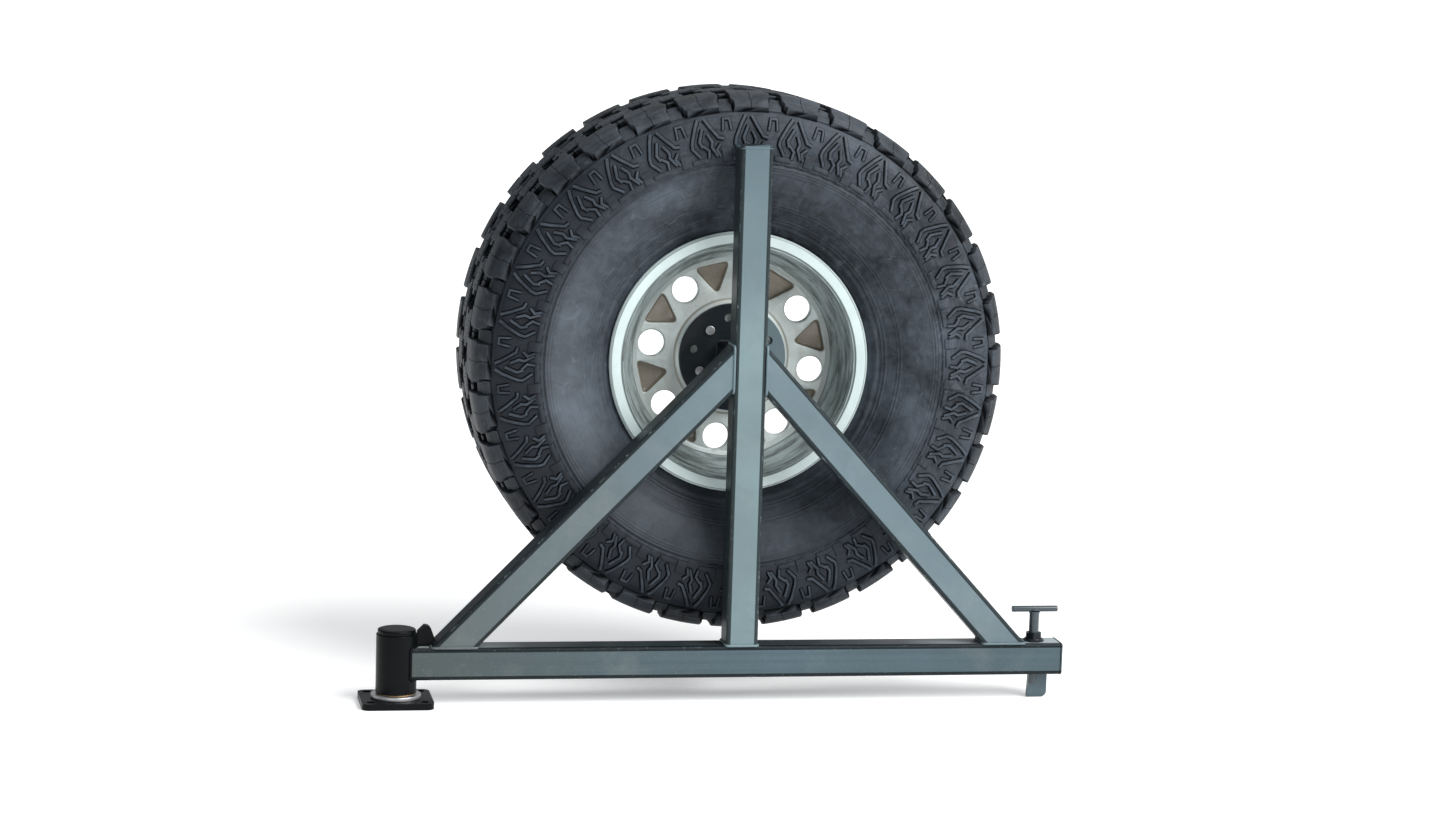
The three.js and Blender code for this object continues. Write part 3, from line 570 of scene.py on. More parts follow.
def square_loop(half, corner, shaded_sides=False):
    """Points round a square with rounded corners, in millimetres, and for each a mark that paints shade near
    a corner, and on the side faces when asked.
    """
    loop, marks = [], []
    inner = half - corner
    beside_corner = [(EDGE_SHADE, FLAT_MARK), (EDGE_SHADE + 1.2, 0)]
    between = [inner * share for share in (0.75, 0.5, 0.25, 0, -0.25, -0.5, -0.75)]
    flat = [(inner - d, m) for d, m in beside_corner] + [(x, 0) for x in between]
    flat += [(d - inner, m) for d, m in reversed(beside_corner)]
    for quarter in range(4):
        turn = quarter * math.pi / 2
        cos, sin = math.cos(turn), math.sin(turn)
        points = []
        for k in range(CORNER_STEPS + 1):
            a = math.pi / 2 * k / CORNER_STEPS
            mark = FLAT_MARK + 0.2 * math.sin(2 * a)
            points.append((inner + corner * math.cos(a), inner + corner * math.sin(a), mark))
        points += [(x, half, mark) for x, mark in flat]
        for x, y, mark in points:
            a, b = x * cos - y * sin, x * sin + y * cos
            loop.append((a, b))
            # the side faces take at least the full flat mark, which paints them in shade
            on_side = shaded_sides and abs(b) > half - corner * 0.5
            marks.append(max(mark, FLAT_MARK) if on_side else mark)
    return loop, marks


def square_tube(start, along, from_cut, to_cut, across=Y, shaded_sides=True):
    """A square tube whose every line runs from from_cut(point) to to_cut(point) along its axis, in metres."""
    third = along.cross(across)
    half = HALF_TUBE / MM
    outer, outer_marks = square_loop(half, TUBE_CORNER, shaded_sides)
    inner, _ = square_loop(half - TUBE_WALL, INNER_CORNER)
    shape = Shape()

    def ring(loop, end, inset):
        row = []
        for a, b in loop:
            p = Vector(start) + across * (a * MM) + third * (b * MM)
            run = from_cut(p, along) + inset if end == 0 else to_cut(p, along) - inset
            row.append(p + along * run)
        return row

    edge = TUBE_EDGE * MM
    tucked = [(a * (1 - TUBE_EDGE / half), b * (1 - TUBE_EDGE / half)) for a, b in outer]
    rows = [ring(tucked, 0, 0), ring(outer, 0, edge), ring(outer, 1, edge), ring(tucked, 1, 0),
            ring(inner, 1, 0), ring(inner, 0, 0)]
    shape.sheet(rows, wrap_rows=True, marks=outer_marks)
    return shape


def plane(point, normal):
    """A cut that ends a tube at a plane."""
    return lambda p, along: (point - p).dot(normal) / along.dot(normal)


def cope(radius):
    """A cut that ends a tube on the hinge's sleeve, which stands on Z."""
    return lambda p, along: math.sqrt(max(0, radius**2 - p.y**2)) - p.x


ARM_MIDDLE = (ARM_LOW.z + ARM_HIGH.z) / 2
SLEEVE_R = SLEEVE_HIGH.x
GUIDE_R = (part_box("latch_guide_tube")[1].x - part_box("latch_guide_tube")[0].x) / 2
LATCH = middle("t_handle_stem")

arm = plain_object("arm_tube", square_tube(Z * ARM_MIDDLE, X, cope(SLEEVE_R + SEAM), plane(ARM_HIGH, X),
                                           shaded_sides=False))
guide_hole = Shape()
lathe(guide_hole, [(0, -5), (GUIDE_R / MM + 0.3, -5), (GUIDE_R / MM + 0.3, 70), (0, 70)],
      (LATCH.x, 0, ARM_LOW.z), (0, 0, 1), 64)
cut(arm, guide_hole)
settle(arm, ARM_PAINT, "carrier", ["main_arm"])

piece("post_tube", square_tube((POST_X, 0, POST_LOW.z), Z, plane(POST_LOW, Z), plane(POST_HIGH, Z)),
      FRAME_PAINT, "carrier", ["center_post"])


def brace(name, node, side):
    """side is -1 for the brace next to the hinge and 1 for the one next to the latch."""
    low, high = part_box(node)
    foot_x = low.x if side < 0 else high.x
    post_face = high.x if side < 0 else low.x
    run = Vector((post_face - foot_x, 0, high.z - low.z))
    along = run.normalized()
    inward = Vector((-side * along.z, 0, side * along.x)) * HALF_TUBE
    foot = Vector((foot_x, 0, low.z)) + inward
    tube = square_tube(foot, along, plane(Z * low.z, Z), plane(X * post_face, X))
    piece(name, tube, BRACE_PAINT, "carrier", [node])
    return foot, along


BRACES = [brace("left_brace_tube", "brace_left", -1), brace("right_brace_tube", "brace_right", 1)]

STANDOFF_LOW, STANDOFF_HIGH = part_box("standoff_tube")
# the standoff takes the plate's dark paint: painted shade
piece("standoff", square_tube((AXIS.x, 0, AXIS.z), Y, plane(STANDOFF_LOW, Y), plane(STANDOFF_HIGH, Y), X),
      DARK_PAINT, "carrier", ["standoff_tube"])


def end_plate(name, node, axis, material):
    """A thin tube cap with rounded corners and a soft rim."""
    low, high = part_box(node)
    size, centre = high - low, (low + high) / 2
    thick = mm(abs(size.dot(axis)))
    half = mm(size.y) / 2
    third = axis.cross(Y)
    shape = Shape()
    rows = []
    for height, inset in [(0, 0.6), (0.6, 0), (thick - 1, 0), (thick - 0.3, 0.3), (thick, 1)]:
        loop, marks = square_loop(half - inset, TUBE_CORNER - inset)
        base = centre + axis * ((height - thick / 2) * MM)
        rows.append([base + Y * (a * MM) + third * (b * MM) for a, b in loop])
    shape.sheet(rows, caps=True, marks=marks)
    piece(name, shape, material, "carrier", [node])


end_plate("post_cap", "post_top_cap", Z, FRAME_PAINT)
end_plate("arm_cap", "arm_end_cap", X, ARM_PAINT)

# ---- welds

BEAD_PITCH = 3.6  # millimetres from ripple to ripple
BEAD_SIDES = 8
BEAD_MARK = 0.15
BEAD_OUT = 0.4  # how far a bead's middle stands off the tube it runs round
BEAD_UP = 0.6 * MM  # and off the face that the tube stands on
SKEW = Vector((0.31, 0.83, 0.46))  # never along a bead, so it sets the bead's cross section


def resample(points, step):
    points = [Vector(p) for p in points]
    lengths = np.cumsum([0] + [(b - a).length for a, b in zip(points, points[1:])])
    count = max(4, int(lengths[-1] / step))
    targets = np.linspace(0, lengths[-1], count + 1)
    columns = np.array([tuple(p) for p in points])
    return [Vector([float(np.interp(t, lengths, columns[:, k])) for k in range(3)]) for t in targets]


def bead(shape, path, radius):
    """A rippled weld bead round a closed path, radius in millimetres."""
    step = 1 * MM
    line = resample(list(path) + [path[0]], step)[:-1]
    turn = [2 * math.pi * k / BEAD_SIDES for k in range(BEAD_SIDES)]
    rows = []
    for i, p in enumerate(line):
        along = (line[(i + 1) % len(line)] - line[i - 1]).normalized()
        side = along.cross(SKEW).normalized()
        up = along.cross(side)
        phase = (i * step / MM / BEAD_PITCH) % 1
        swell = radius * (0.86 + 0.2 * math.sin(math.pi * phase) ** 0.7) * MM
        rows.append([p + side * (swell * math.cos(a)) + up * (swell * math.sin(a)) for a in turn])
    shape.sheet(rows, wrap_rows=True, marks=[BEAD_MARK] * BEAD_SIDES)


def weld(name, paths, radius, material, body):
    shape = Shape()
    for path in paths:
        bead(shape, path, radius)
    piece(name, shape, material, body, crease=60)


def square_path(centre, across, third, grow=BEAD_OUT):
    loop, _ = square_loop(HALF_TUBE / MM + grow, TUBE_CORNER)
    return [Vector(centre) + Vector(across) * (a * MM) + Vector(third) * (b * MM) for a, b in loop]


def mitre_path(foot, along, cutting):
    """The outline of a brace's end where a plane cuts it."""
    path = square_path(foot, Y, along.cross(Y))
    return [p + along * cutting(p, along) for p in path]


FILLET = 2.1  # radius of a bead in a corner
CAP_BEAD = 0.9  # and round a tube's cap
weld("welds_post", [square_path((POST_X, 0, ARM_TOP + BEAD_UP), X, Y)], FILLET, FRAME_PAINT,
     "carrier")
weld("welds_caps", [square_path((POST_X, 0, POST_HIGH.z + SEAM / 2), X, Y, 0)], CAP_BEAD,
     FRAME_PAINT, "carrier")
weld("welds_arm_cap", [square_path((ARM_HIGH.x + SEAM / 2, 0, ARM_MIDDLE), Y, Z, 0)], CAP_BEAD,
     DARK_PAINT, "carrier")
brace_paths = []
for sign, (foot, along) in zip((-1, 1), BRACES):
    face = POST_X + sign * (HALF_TUBE + BEAD_UP)
    brace_paths.append(mitre_path(foot, along, plane(Z * (ARM_TOP + BEAD_UP), Z)))
    brace_paths.append(mitre_path(foot, along, plane(X * face, X)))
weld("welds_braces", brace_paths, FILLET, BRACE_PAINT, "carrier")
# the standoff's welds take the same dark paint: painted shade
standoff_paths = [square_path((AXIS.x, y, AXIS.z), X, Z)
                  for y in (HALF_TUBE + BEAD_UP, PLATE_LOW.y - BEAD_UP)]
weld("welds_standoff", standoff_paths, 2.2, DARK_PAINT, "carrier")


def cope_path():
    loop, _ = square_loop(HALF_TUBE / MM + 0.2, TUBE_CORNER)
    radius = SLEEVE_R + BEAD_UP
    path = []
    for a, b in loop:
        y = a * MM
        path.append(Vector((math.sqrt(max(0, radius**2 - y**2)), y, ARM_MIDDLE + b * MM)))
    return path


weld("welds_sleeve", [cope_path()], 2.4, BLACK_PAINT, "carrier")

# ---- hinge

HINGE = (0, 0, 0)

sleeve_low, sleeve_high = mm(SLEEVE_LOW.z), mm(SLEEVE_HIGH.z)
sleeve_r = mm(SLEEVE_R)
turned_piece("sleeve", [
    (22, sleeve_low, 0.5), (sleeve_r, sleeve_low, 1.2), (sleeve_r, sleeve_high, 1.4),
    (26, sleeve_high, 0.6), (26, sleeve_high - 19, 0.3), (22, sleeve_high - 19, 0.3),
], HINGE, Z, BLACK_PAINT, "carrier", ["hinge_sleeve"], 128, closed=True)

cap_low, cap_high, cap_r = mm(CAP_LOW.z), mm(CAP_HIGH.z), mm(CAP_HIGH.x)
turned_piece("cap_of_hinge", [
    (0, cap_high - 2, 0), (21, cap_high - 2, 1), (23.7, cap_high - 4, 1), (23.7, cap_low, 0.3),
    (25.7, cap_low, 0.3), (25.7, sleeve_high + 0.3, 0.2), (cap_r, sleeve_high + 0.3, 0.4),
    (cap_r, cap_high - 1.5, 2.5), (cap_r - 6, cap_high, 3), (6, cap_high, 1), (0, cap_high, 0),
], HINGE, Z, BLACK_PAINT, "carrier", ["dust_cap"], 96)

PIN_R = 15.875
THREAD_R = 11
foot_low, foot_high = mm(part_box("spindle")[0].z), mm(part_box("spindle")[1].z)
foot_r = mm(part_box("spindle")[1].x)
turned_piece("spindle_pin", [
    (0, foot_low, 0), (foot_r, foot_low, 0.5), (foot_r, foot_low + 6, 1.4), (17, foot_low + 6, 1.2),
    (PIN_R, foot_low + 7.5, 0.5), (PIN_R, foot_high - 19, 0.8), (THREAD_R, foot_high - 18, 0.6),
    (THREAD_R, foot_high, 1.2), (0, foot_high, 0),
], HINGE, Z, ZINC, "hinge_base", ["spindle"], 128)

turned_piece("nipple", [
    (0, 24, 0), (2.7, 24, 0.2), (2.7, 32.1, 0), (4.5, 32.1, 0.3), (4.5, 36, 0.5), (2.2, 37, 0.5),
    (2.2, 39, 0.5), (3.2, 40.5, 0.8), (2, 43, 0.6), (0, 43, 0),
], Z * middle("grease_fitting").z, Y, ZINC, "carrier", ["grease_fitting"], 32)


SOFT_CREASE = 40


def soften(node, material, width):
    """Keeps a CAD node, with a material of its own and its edges softened by a width in millimetres."""
    obj = NODES[node]
    obj.data.materials.clear()
    obj.data.materials.append(material)
    smooth(obj.data, SOFT_CREASE)
    if width:
        bevel = obj.modifiers.new("soft_edges", "BEVEL")
        bevel.width = width * MM
        bevel.segments = 3
        bevel.limit_method = "ANGLE"
        bevel.angle_limit = math.radians(SOFT_CREASE)


for kept_node, material, width in [
    ("base_plate", BLACK_PAINT, 0.8), ("hinge_gusset", BLACK_PAINT, 0.8), ("latch_flag", ARM_PAINT, 0.7),
    ("spindle_nut", ZINC, 0.3), ("cotter_pin", ZINC, 0), ("spindle_washer", ZINC, 0),
    ("thrust_washer", BRONZE, 0), ("lower_bushing", BRONZE, 0), ("upper_bushing", BRONZE, 0),
    ("latch_guide_tube", ZINC, 0),
]:
    soften(kept_node, material, width)

# ---- latch

STEM_R = (STEM_HIGH.y - STEM_LOW.y) / 2 / MM
STEM_THREAD_PITCH = 4
STEM_THREAD_DEPTH = 0.75
BAR_LOW, BAR_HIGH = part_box("t_handle_bar")
BAR = (BAR_LOW + BAR_HIGH) / 2
bar_r = mm(BAR_HIGH.z - BAR_LOW.z) / 2
bar_half = mm(BAR_HIGH.x - BAR_LOW.x) / 2
turned_piece("handle_bar", [
    (0, -bar_half, 0), (bar_r, -bar_half, 1.6), (bar_r, bar_half, 1.6), (0, bar_half, 0),
], BAR, X, HARDWARE_PAINT, "latch", ["t_handle_bar"], 48)

flag_low, flag_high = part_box("latch_flag")
stem_top = mm(STEM_HIGH.z)
stem_low = mm(STEM_LOW.z)
thread = []
for k in range(12):
    z = mm(ARM_TOP) - 2 - STEM_THREAD_PITCH * k
    thread += [(STEM_R - STEM_THREAD_DEPTH, z, 0.2), (STEM_R, z - STEM_THREAD_PITCH / 2, 0.2)]
stem_shape = Shape()
stem_profile = [(0, stem_low, 0), (STEM_R, stem_low, 0.8)] + thread[::-1] + [
    (STEM_R, mm(ARM_TOP) + 3, 0.3), (STEM_R, stem_top - 4, 2), (STEM_R + 1, stem_top + 1, 0.8),
    (0, stem_top + 1, 0),
]
lathe(stem_shape, rounded(stem_profile, steps=3), (LATCH.x, LATCH.y, 0), Z, 48)
stem = plain_object("handle_stem", stem_shape)
# the slot that takes the flag is cut right across the stem
slot_shape = Shape()
across, gap = 10 * MM, (flag_high.y - flag_low.y) / 2 + SEAM
corners = [(-across, -gap), (across, -gap), (across, gap), (-across, gap)]
slot_shape.sheet([[(LATCH.x + x, y, z) for x, y in corners] for z in (STEM_LOW.z - MM, flag_high.z + SEAM)],
                 caps=True)
cut(stem, slot_shape)
settle(stem, HARDWARE_PAINT, "latch", ["t_handle_stem"])


def saddle_path(radius, grow):
    """Where the upright stem meets the bar lying on it."""
    path = []
    for k in range(48):
        a = 2 * math.pi * k / 48
        x, y = radius * math.cos(a), radius * math.sin(a)
        drop = math.sqrt(max(0.3, (bar_r + grow) ** 2 - min(abs(y), bar_r) ** 2))
        path.append(Vector((LATCH.x + x * MM, y * MM * 0.72, BAR.z - drop * MM)))
    return path


weld("welds_handle", [saddle_path(STEM_R * 0.98, 0.2)], 1.3, HARDWARE_PAINT, "latch")


NUT_SIDES = 72


def hex_radius(angle, flats):
    return flats / 2 / math.cos((angle + math.pi / 6) % (math.pi / 3) - math.pi / 6)


def nut(name, node, flats, centre, axis, levels, bore, material, body, start=0):
    """A nut lofted from its seat to its crown. Each level is (height, largest radius, in the hexagon)."""
    axis, first, second = compass(axis)
    turn = [2 * math.pi * k / NUT_SIDES for k in range(NUT_SIDES)]
    rows = []

    def ring(height, radii):
        base = Vector(centre) + axis * (height * MM)
        rows.append([base + (first * math.cos(a) + second * math.sin(a)) * (r * MM)
                     for a, r in zip(turn, radii)])

    for height, limit, hexagonal in levels:
        ring(height, [min(limit, hex_radius(a + start, flats)) if hexagonal else limit for a in turn])
    low, high = levels[0][0], levels[-1][0]
    for height, grow in [(high, 1), (high - 1, 0), (low + 0.8, 0), (low, 0.8)]:
        ring(height, [bore + grow] * NUT_SIDES)
    shape = Shape()
    shape.sheet(rows, wrap_rows=True)
    piece(name, shape, material, body, [node])


nut_low, nut_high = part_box("latch_flange_nut")
nut_height = mm(nut_high.z - nut_low.z)
flange = mm(nut_high.x - nut_low.x) / 2
FLANGE_NUT_FLATS = 24
hex_corner = FLANGE_NUT_FLATS / math.sqrt(3)
nut("flange_nut", "latch_flange_nut", FLANGE_NUT_FLATS, (LATCH.x, LATCH.y, nut_low.z), Z, [
    (0, flange - 0.5, False), (0.5, flange, False), (1.8, flange, False), (2.6, flange - 1.5, False),
    (4.2, hex_corner + 0.6, False), (4.6, hex_corner, True), (nut_height - 1.2, hex_corner, True),
    (nut_height - 0.5, hex_corner - 0.7, True), (nut_height, hex_corner - 1.7, True),
], STEM_R + 0.3, DARK_PAINT, "carrier")

# ---- wheel plate, studs and nuts

STUD_COUNT = 5
STUD_R = 6.35
STUD_HOLE_R = 6.65
LUG_HOLE_R = 7.6
STUD_THREAD_TURNS = 15
STUD_THREAD_PITCH = 1.9
STUD_THREAD_DEPTH = 0.65
LUG_HEIGHT = 26  # of a nut above the wheel's hub
LUG_FLATS = 19
LUG_CORNER = LUG_FLATS / math.sqrt(3)
NUT_TURN = 0.7  # radians from one tightened nut to the next
STUD_CIRCLE_R = 57.15
SPARE_CIRCLE_R = 63.5
STUD_ANGLE = math.radians(131)
SPARE_ANGLE = math.radians(97)
PLATE_R = mm(PLATE_HIGH.z - PLATE_LOW.z) / 2
PLATE_THICK = mm(PLATE_HIGH.y - PLATE_LOW.y)


def around(count, first):
    return [first - 2 * math.pi * i / count for i in range(count)]


plate_shape = Shape()
lathe(plate_shape, rounded([
    (0, 0, 0), (PLATE_R, 0, 1.6), (PLATE_R, PLATE_THICK, 1), (0, PLATE_THICK, 0),
]), (AXIS.x, PLATE_LOW.y, AXIS.z), Y, 160)
plate = plain_object("hub_plate", plate_shape)
holes = Shape()
for angle in around(STUD_COUNT, SPARE_ANGLE):
    lathe(holes, [(0, -1), (LUG_HOLE_R, -1), (STUD_HOLE_R, 0.5), (STUD_HOLE_R, PLATE_THICK + 1),
                  (0, PLATE_THICK + 1)],
          wheel_point(angle, SPARE_CIRCLE_R, PLATE_LOW.y), Y, 40)
for angle in around(STUD_COUNT, STUD_ANGLE):
    lathe(holes, [(0, -1), (STUD_HOLE_R, -1), (STUD_HOLE_R, PLATE_THICK + 1), (0, PLATE_THICK + 1)],
          wheel_point(angle, STUD_CIRCLE_R, PLATE_LOW.y), Y, 40)
cut(plate, holes)
settle(plate, PLATE_PAINT, "carrier", ["wheel_plate"])

for i, angle in enumerate(around(STUD_COUNT, STUD_ANGLE)):
    node = f"lug_stud_{i + 1}"
    low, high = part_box(node)
    length = mm(high.y - low.y)
    head = mm(high.z - low.z) / 2
    thread = []
    for k in range(STUD_THREAD_TURNS):
        at = length - 2 - STUD_THREAD_PITCH * (STUD_THREAD_TURNS - k)
        thread += [(STUD_R - STUD_THREAD_DEPTH, at, 0.15), (STUD_R, at + STUD_THREAD_PITCH / 2, 0.15)]
    turned_piece(f"stud_{i + 1}", [
        (0, 0, 0), (head, 0, 1.2), (head, 3, 0.4), (STUD_R, 3, 0), (STUD_R, length - 32, 0),
        *thread, (5.6, length - 1.2, 0.3), (5, length, 0.4), (0, length, 0),
    ], wheel_point(angle, STUD_CIRCLE_R, low.y), Y, ZINC, "carrier", [node], 40)
    node = f"lug_nut_{i + 1}"
    low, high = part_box(node)
    height = mm(high.y - low.y)
    hex_at = height - LUG_HEIGHT
    crown = [(height - down, LUG_CORNER - less, True)
             for down, less in ((8, 0), (5, 0.8), (3, 1.8), (1, 2.6), (0, 3.3))]
    nut(f"wheel_nut_{i + 1}", node, LUG_FLATS, wheel_point(angle, STUD_CIRCLE_R, low.y), Y, [
        (0, 7.4, False), (hex_at - 0.6, 11.2, False), (hex_at, 11.3, False),
        (hex_at + 1, LUG_CORNER, True), *crown,
    ], STUD_HOLE_R, ZINC, "spare_wheel", start=i * NUT_TURN)

# ---- wheel

RIM_R = mm(RIM_HIGH.z - RIM_LOW.z) / 2
RIM_WIDTH = mm(RIM_HIGH.y - RIM_LOW.y)
DISC_LOW, DISC_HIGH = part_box("wheel_disc")
DISC_R = mm(DISC_HIGH.z - DISC_LOW.z) / 2
SEAT_R = 190.5
HUB_FACE = mm(PLATE_HIGH.y) + 0.3
HUB_THICK = 16
WEB_BACK = HUB_FACE + 4
WEB_FRONT = WEB_BACK + 14
HUB_R = 90
HUB_BORE_R = 41.5
WINDOW_COUNT = 8
WINDOW_CIRCLE_R = 131
WINDOW_R = 21
WINDOW_ANGLE = math.radians(126)
POCKET_DEPTH = 9
VALVE_ANGLE = math.radians(205)
WHEEL_SIDES = 320
WALL_R = 187  # inside this radius the rim takes the darker alloy of its wall: painted shade inside the barrel, with more dust and streaks
POCKET_SCALE = 17  # millimetres that the pocket's outline shrinks by before it vanishes
POCKET_CORNERS = [(-30, 151), (30, 151), (0, 102)]
POCKET_CORNER = 7
POCKET_INNER_R = 95  # the pockets lie between these radii
POCKET_OUTER_R = 156
POCKET_HALF_ANGLE = 0.24

RIM_PROFILE = [
    (RIM_R, 3.5, 1.5), (RIM_R, 9.5, 1.5), (SEAT_R + 8, 13, 4), (SEAT_R, 15, 2), (SEAT_R + 1, 36, 3),
    (SEAT_R - 3, 42, 3), (168, 60, 8), (168, 104, 8), (181, 120, 6), (SEAT_R + 1, 184, 6), (SEAT_R, 207, 2),
    (SEAT_R + 8, 209, 4), (RIM_R, 212.5, 1.5), (RIM_R, 218.5, 1.5), (RIM_R - 3, RIM_WIDTH, 1.5),
    (RIM_R - 18, RIM_WIDTH - 1, 2), (RIM_R - 22, RIM_WIDTH - 4, 2), (182, 206, 4), (178.5, 150, 3),
    (174, 124, 5), (DISC_R + 0.3, 106, 4), (DISC_R + 0.3, 60, 6), (168, 52, 5), (175.5, 43, 4),
    (178.6, 36, 2), (178.6, 33, 0.8), (180.3, 32, 0.8), (180.6, 18, 1), (182.2, 16.5, 0.8), (182.8, 7, 1),
    (184.6, 5.6, 0.8), (185, 2.6, 0.5), (186.2, 2, 0.5), (187, 4, 0.5), (188.6, 4, 0.5), (189.4, 1, 0.8),
    (RIM_R - 3, 0, 2.6),
]
rim_shape = Shape()
lathe(rim_shape, rounded(RIM_PROFILE, closed=True, steps=4), (AXIS.x, RIM_BACK, AXIS.z), Y, WHEEL_SIDES,
      closed=True)
rim = plain_object("rim", rim_shape)

VALVE_TILT = math.radians(84)
VALVE_R = 184
VALVE_FROM_BACK = 168
valve_foot = wheel_point(VALVE_ANGLE, VALVE_R, RIM_BACK + VALVE_FROM_BACK * MM)
valve_out = wheel_point(VALVE_ANGLE, 1, 0) - wheel_point(VALVE_ANGLE, 0, 0)
valve_axis = (Y * math.cos(VALVE_TILT) - valve_out.normalized() * math.sin(VALVE_TILT)).normalized()
valve_hole = Shape()
lathe(valve_hole, [(0, -20), (5.5, -20), (5.5, 20), (0, 20)], valve_foot, valve_axis, 32)
cut(rim, valve_hole)
settle(rim, ALLOY, "spare_wheel", ["rim_front", "rim_back"], crease=40)
rim.data.materials.append(ALLOY_WALL)
for face in rim.data.polygons:
    x, y, z = face.center
    out = math.hypot(x - AXIS.x, z - AXIS.z) / MM
    if out < WALL_R and y > RIM_BACK + 1.5 * MM:
        face.material_index = 1

turned_piece("valve", [
    (0, -13, 0), (6.5, -13, 1), (8, -9, 1), (8, -7, 0.6), (5.1, -7, 0.4), (5.1, 7, 0.4), (7.4, 7, 0.6),
    (6.6, 11, 1), (4.2, 16, 2), (3.8, 25, 0.3), (2.6, 25.2, 0.1), (2.6, 33, 0.3), (0, 33, 0),
], valve_foot, valve_axis, VALVE_RUBBER, "spare_wheel", ["valve_stem"], 40)
turned_piece("valve_cover", [
    (2.9, 26, 0.2), (4.6, 26, 0.3), (4.6, 35, 0.8), (3.6, 36.5, 0.8), (0, 36.5, 0),
    (0, 33.5, 0), (2.9, 33.5, 0.2),
], valve_foot, valve_axis, CAP_PLASTIC, "spare_wheel", ["valve_cap"], 40, closed=True)

HUB_FRONT = HUB_FACE + HUB_THICK
disc_shape = Shape()
lathe(disc_shape, rounded([
    (HUB_BORE_R, HUB_FACE, 1.2), (HUB_R - 4, HUB_FACE, 1), (HUB_R, HUB_FACE + 1.6, 1.5),
    (HUB_R + 4, WEB_BACK, 3), (DISC_R - 7, WEB_BACK, 4), (DISC_R - 1.2, WEB_BACK - 6, 1),
    (DISC_R, WEB_BACK - 6, 0.3),
    (DISC_R, WEB_FRONT + 6, 0.3), (DISC_R - 1.2, WEB_FRONT + 6, 1), (DISC_R - 7, WEB_FRONT, 4),
    (HUB_R + 6, WEB_FRONT, 4), (HUB_R, HUB_FRONT, 2), (HUB_BORE_R + 8, HUB_FRONT, 1),
    (HUB_BORE_R + 6, HUB_FRONT - 1.2, 1), (HUB_BORE_R, HUB_FRONT - 1.2, 1.5),
], closed=True, steps=4), (AXIS.x, 0, AXIS.z), Y, WHEEL_SIDES, closed=True)
disc = plain_object("disc", disc_shape)

# each window's edges are rounded by the flares of the solid that cuts it
windows = Shape()
for angle in around(WINDOW_COUNT, WINDOW_ANGLE):
    lathe(windows, rounded([
        (0, WEB_BACK - 4, 0), (WINDOW_R + 5, WEB_BACK - 4, 0), (WINDOW_R + 2.2, WEB_BACK - 0.01, 0.3),
        (WINDOW_R, WEB_BACK + 2.4, 2), (WINDOW_R, WEB_FRONT - 2.4, 2),
        (WINDOW_R + 2.2, WEB_FRONT + 0.01, 0.3), (WINDOW_R + 5, WEB_FRONT + 4, 0), (0, WEB_FRONT + 4, 0),
    ]), wheel_point(angle, WINDOW_CIRCLE_R, 0), Y, 64)


def pocket_loop(shrink):
    """The pocket's triangle with round corners, drawn in on all sides, as (across, out) points."""
    centre = np.mean(POCKET_CORNERS, axis=0)
    scale = 1 - shrink / POCKET_SCALE
    radius = max(POCKET_CORNER - shrink * 0.4, 2)
    corners = [(*(centre + (np.array(c) - centre) * scale), radius) for c in POCKET_CORNERS]
    return rounded(corners, closed=True, steps=7)


pockets = Shape()
for angle in around(WINDOW_COUNT, WINDOW_ANGLE - math.pi / WINDOW_COUNT):
    out = Vector((math.cos(angle), 0, math.sin(angle)))
    side = Vector((-math.sin(angle), 0, math.cos(angle)))
    rows = []
    for depth, shrink in [(-4, -2.4), (-0.01, -1.2), (0.8, -0.2), (2, 0.4), (POCKET_DEPTH - 2.2, 1.5),
                          (POCKET_DEPTH - 0.7, 2.2), (POCKET_DEPTH, 3.8)]:
        base = Vector((AXIS.x, (WEB_BACK + depth) * MM, AXIS.z))
        rows.append([base + side * (a * MM) + out * (b * MM) for a, b in pocket_loop(shrink)])
    pockets.sheet(rows, caps=True)

lug_holes = Shape()
for angle in around(STUD_COUNT, STUD_ANGLE):
    lathe(lug_holes, rounded([
        (0, HUB_FACE - 2, 0), (8.8, HUB_FACE - 2, 0), (LUG_HOLE_R, HUB_FACE + 0.8, 0.4),
        (LUG_HOLE_R, HUB_FRONT - 7, 0.3),
        (11.8, HUB_FRONT, 0.3), (13.4, HUB_FRONT + 2, 0), (0, HUB_FRONT + 2, 0),
    ]), wheel_point(angle, STUD_CIRCLE_R, 0), Y, 48)
cut(disc, windows, pockets, lug_holes)
settle(disc, ALLOY_WEB, "spare_wheel", ["wheel_disc"], crease=40)

# the pockets' floors and walls carry more dust than the web
disc.data.materials.append(ALLOY_POCKET)
for face in disc.data.polygons:
    x, y, z = face.center
    out = math.hypot(x - AXIS.x, z - AXIS.z) / MM
    turn = (math.atan2(z - AXIS.z, x - AXIS.x) - WINDOW_ANGLE) % (2 * math.pi / WINDOW_COUNT)
    off_centre = abs(turn - math.pi / WINDOW_COUNT)
    in_depth = WEB_BACK + 1.2 < y / MM < WEB_BACK + POCKET_DEPTH + 0.2
    if in_depth and POCKET_INNER_R < out < POCKET_OUTER_R and off_centre < POCKET_HALF_ANGLE:
        face.material_index = 1

# ---- tire

PITCHES = 32  # tread units round the tire
TIRE_SIDES = 384
PITCH = 2 * math.pi / PITCHES
BEAD_R = 192.2


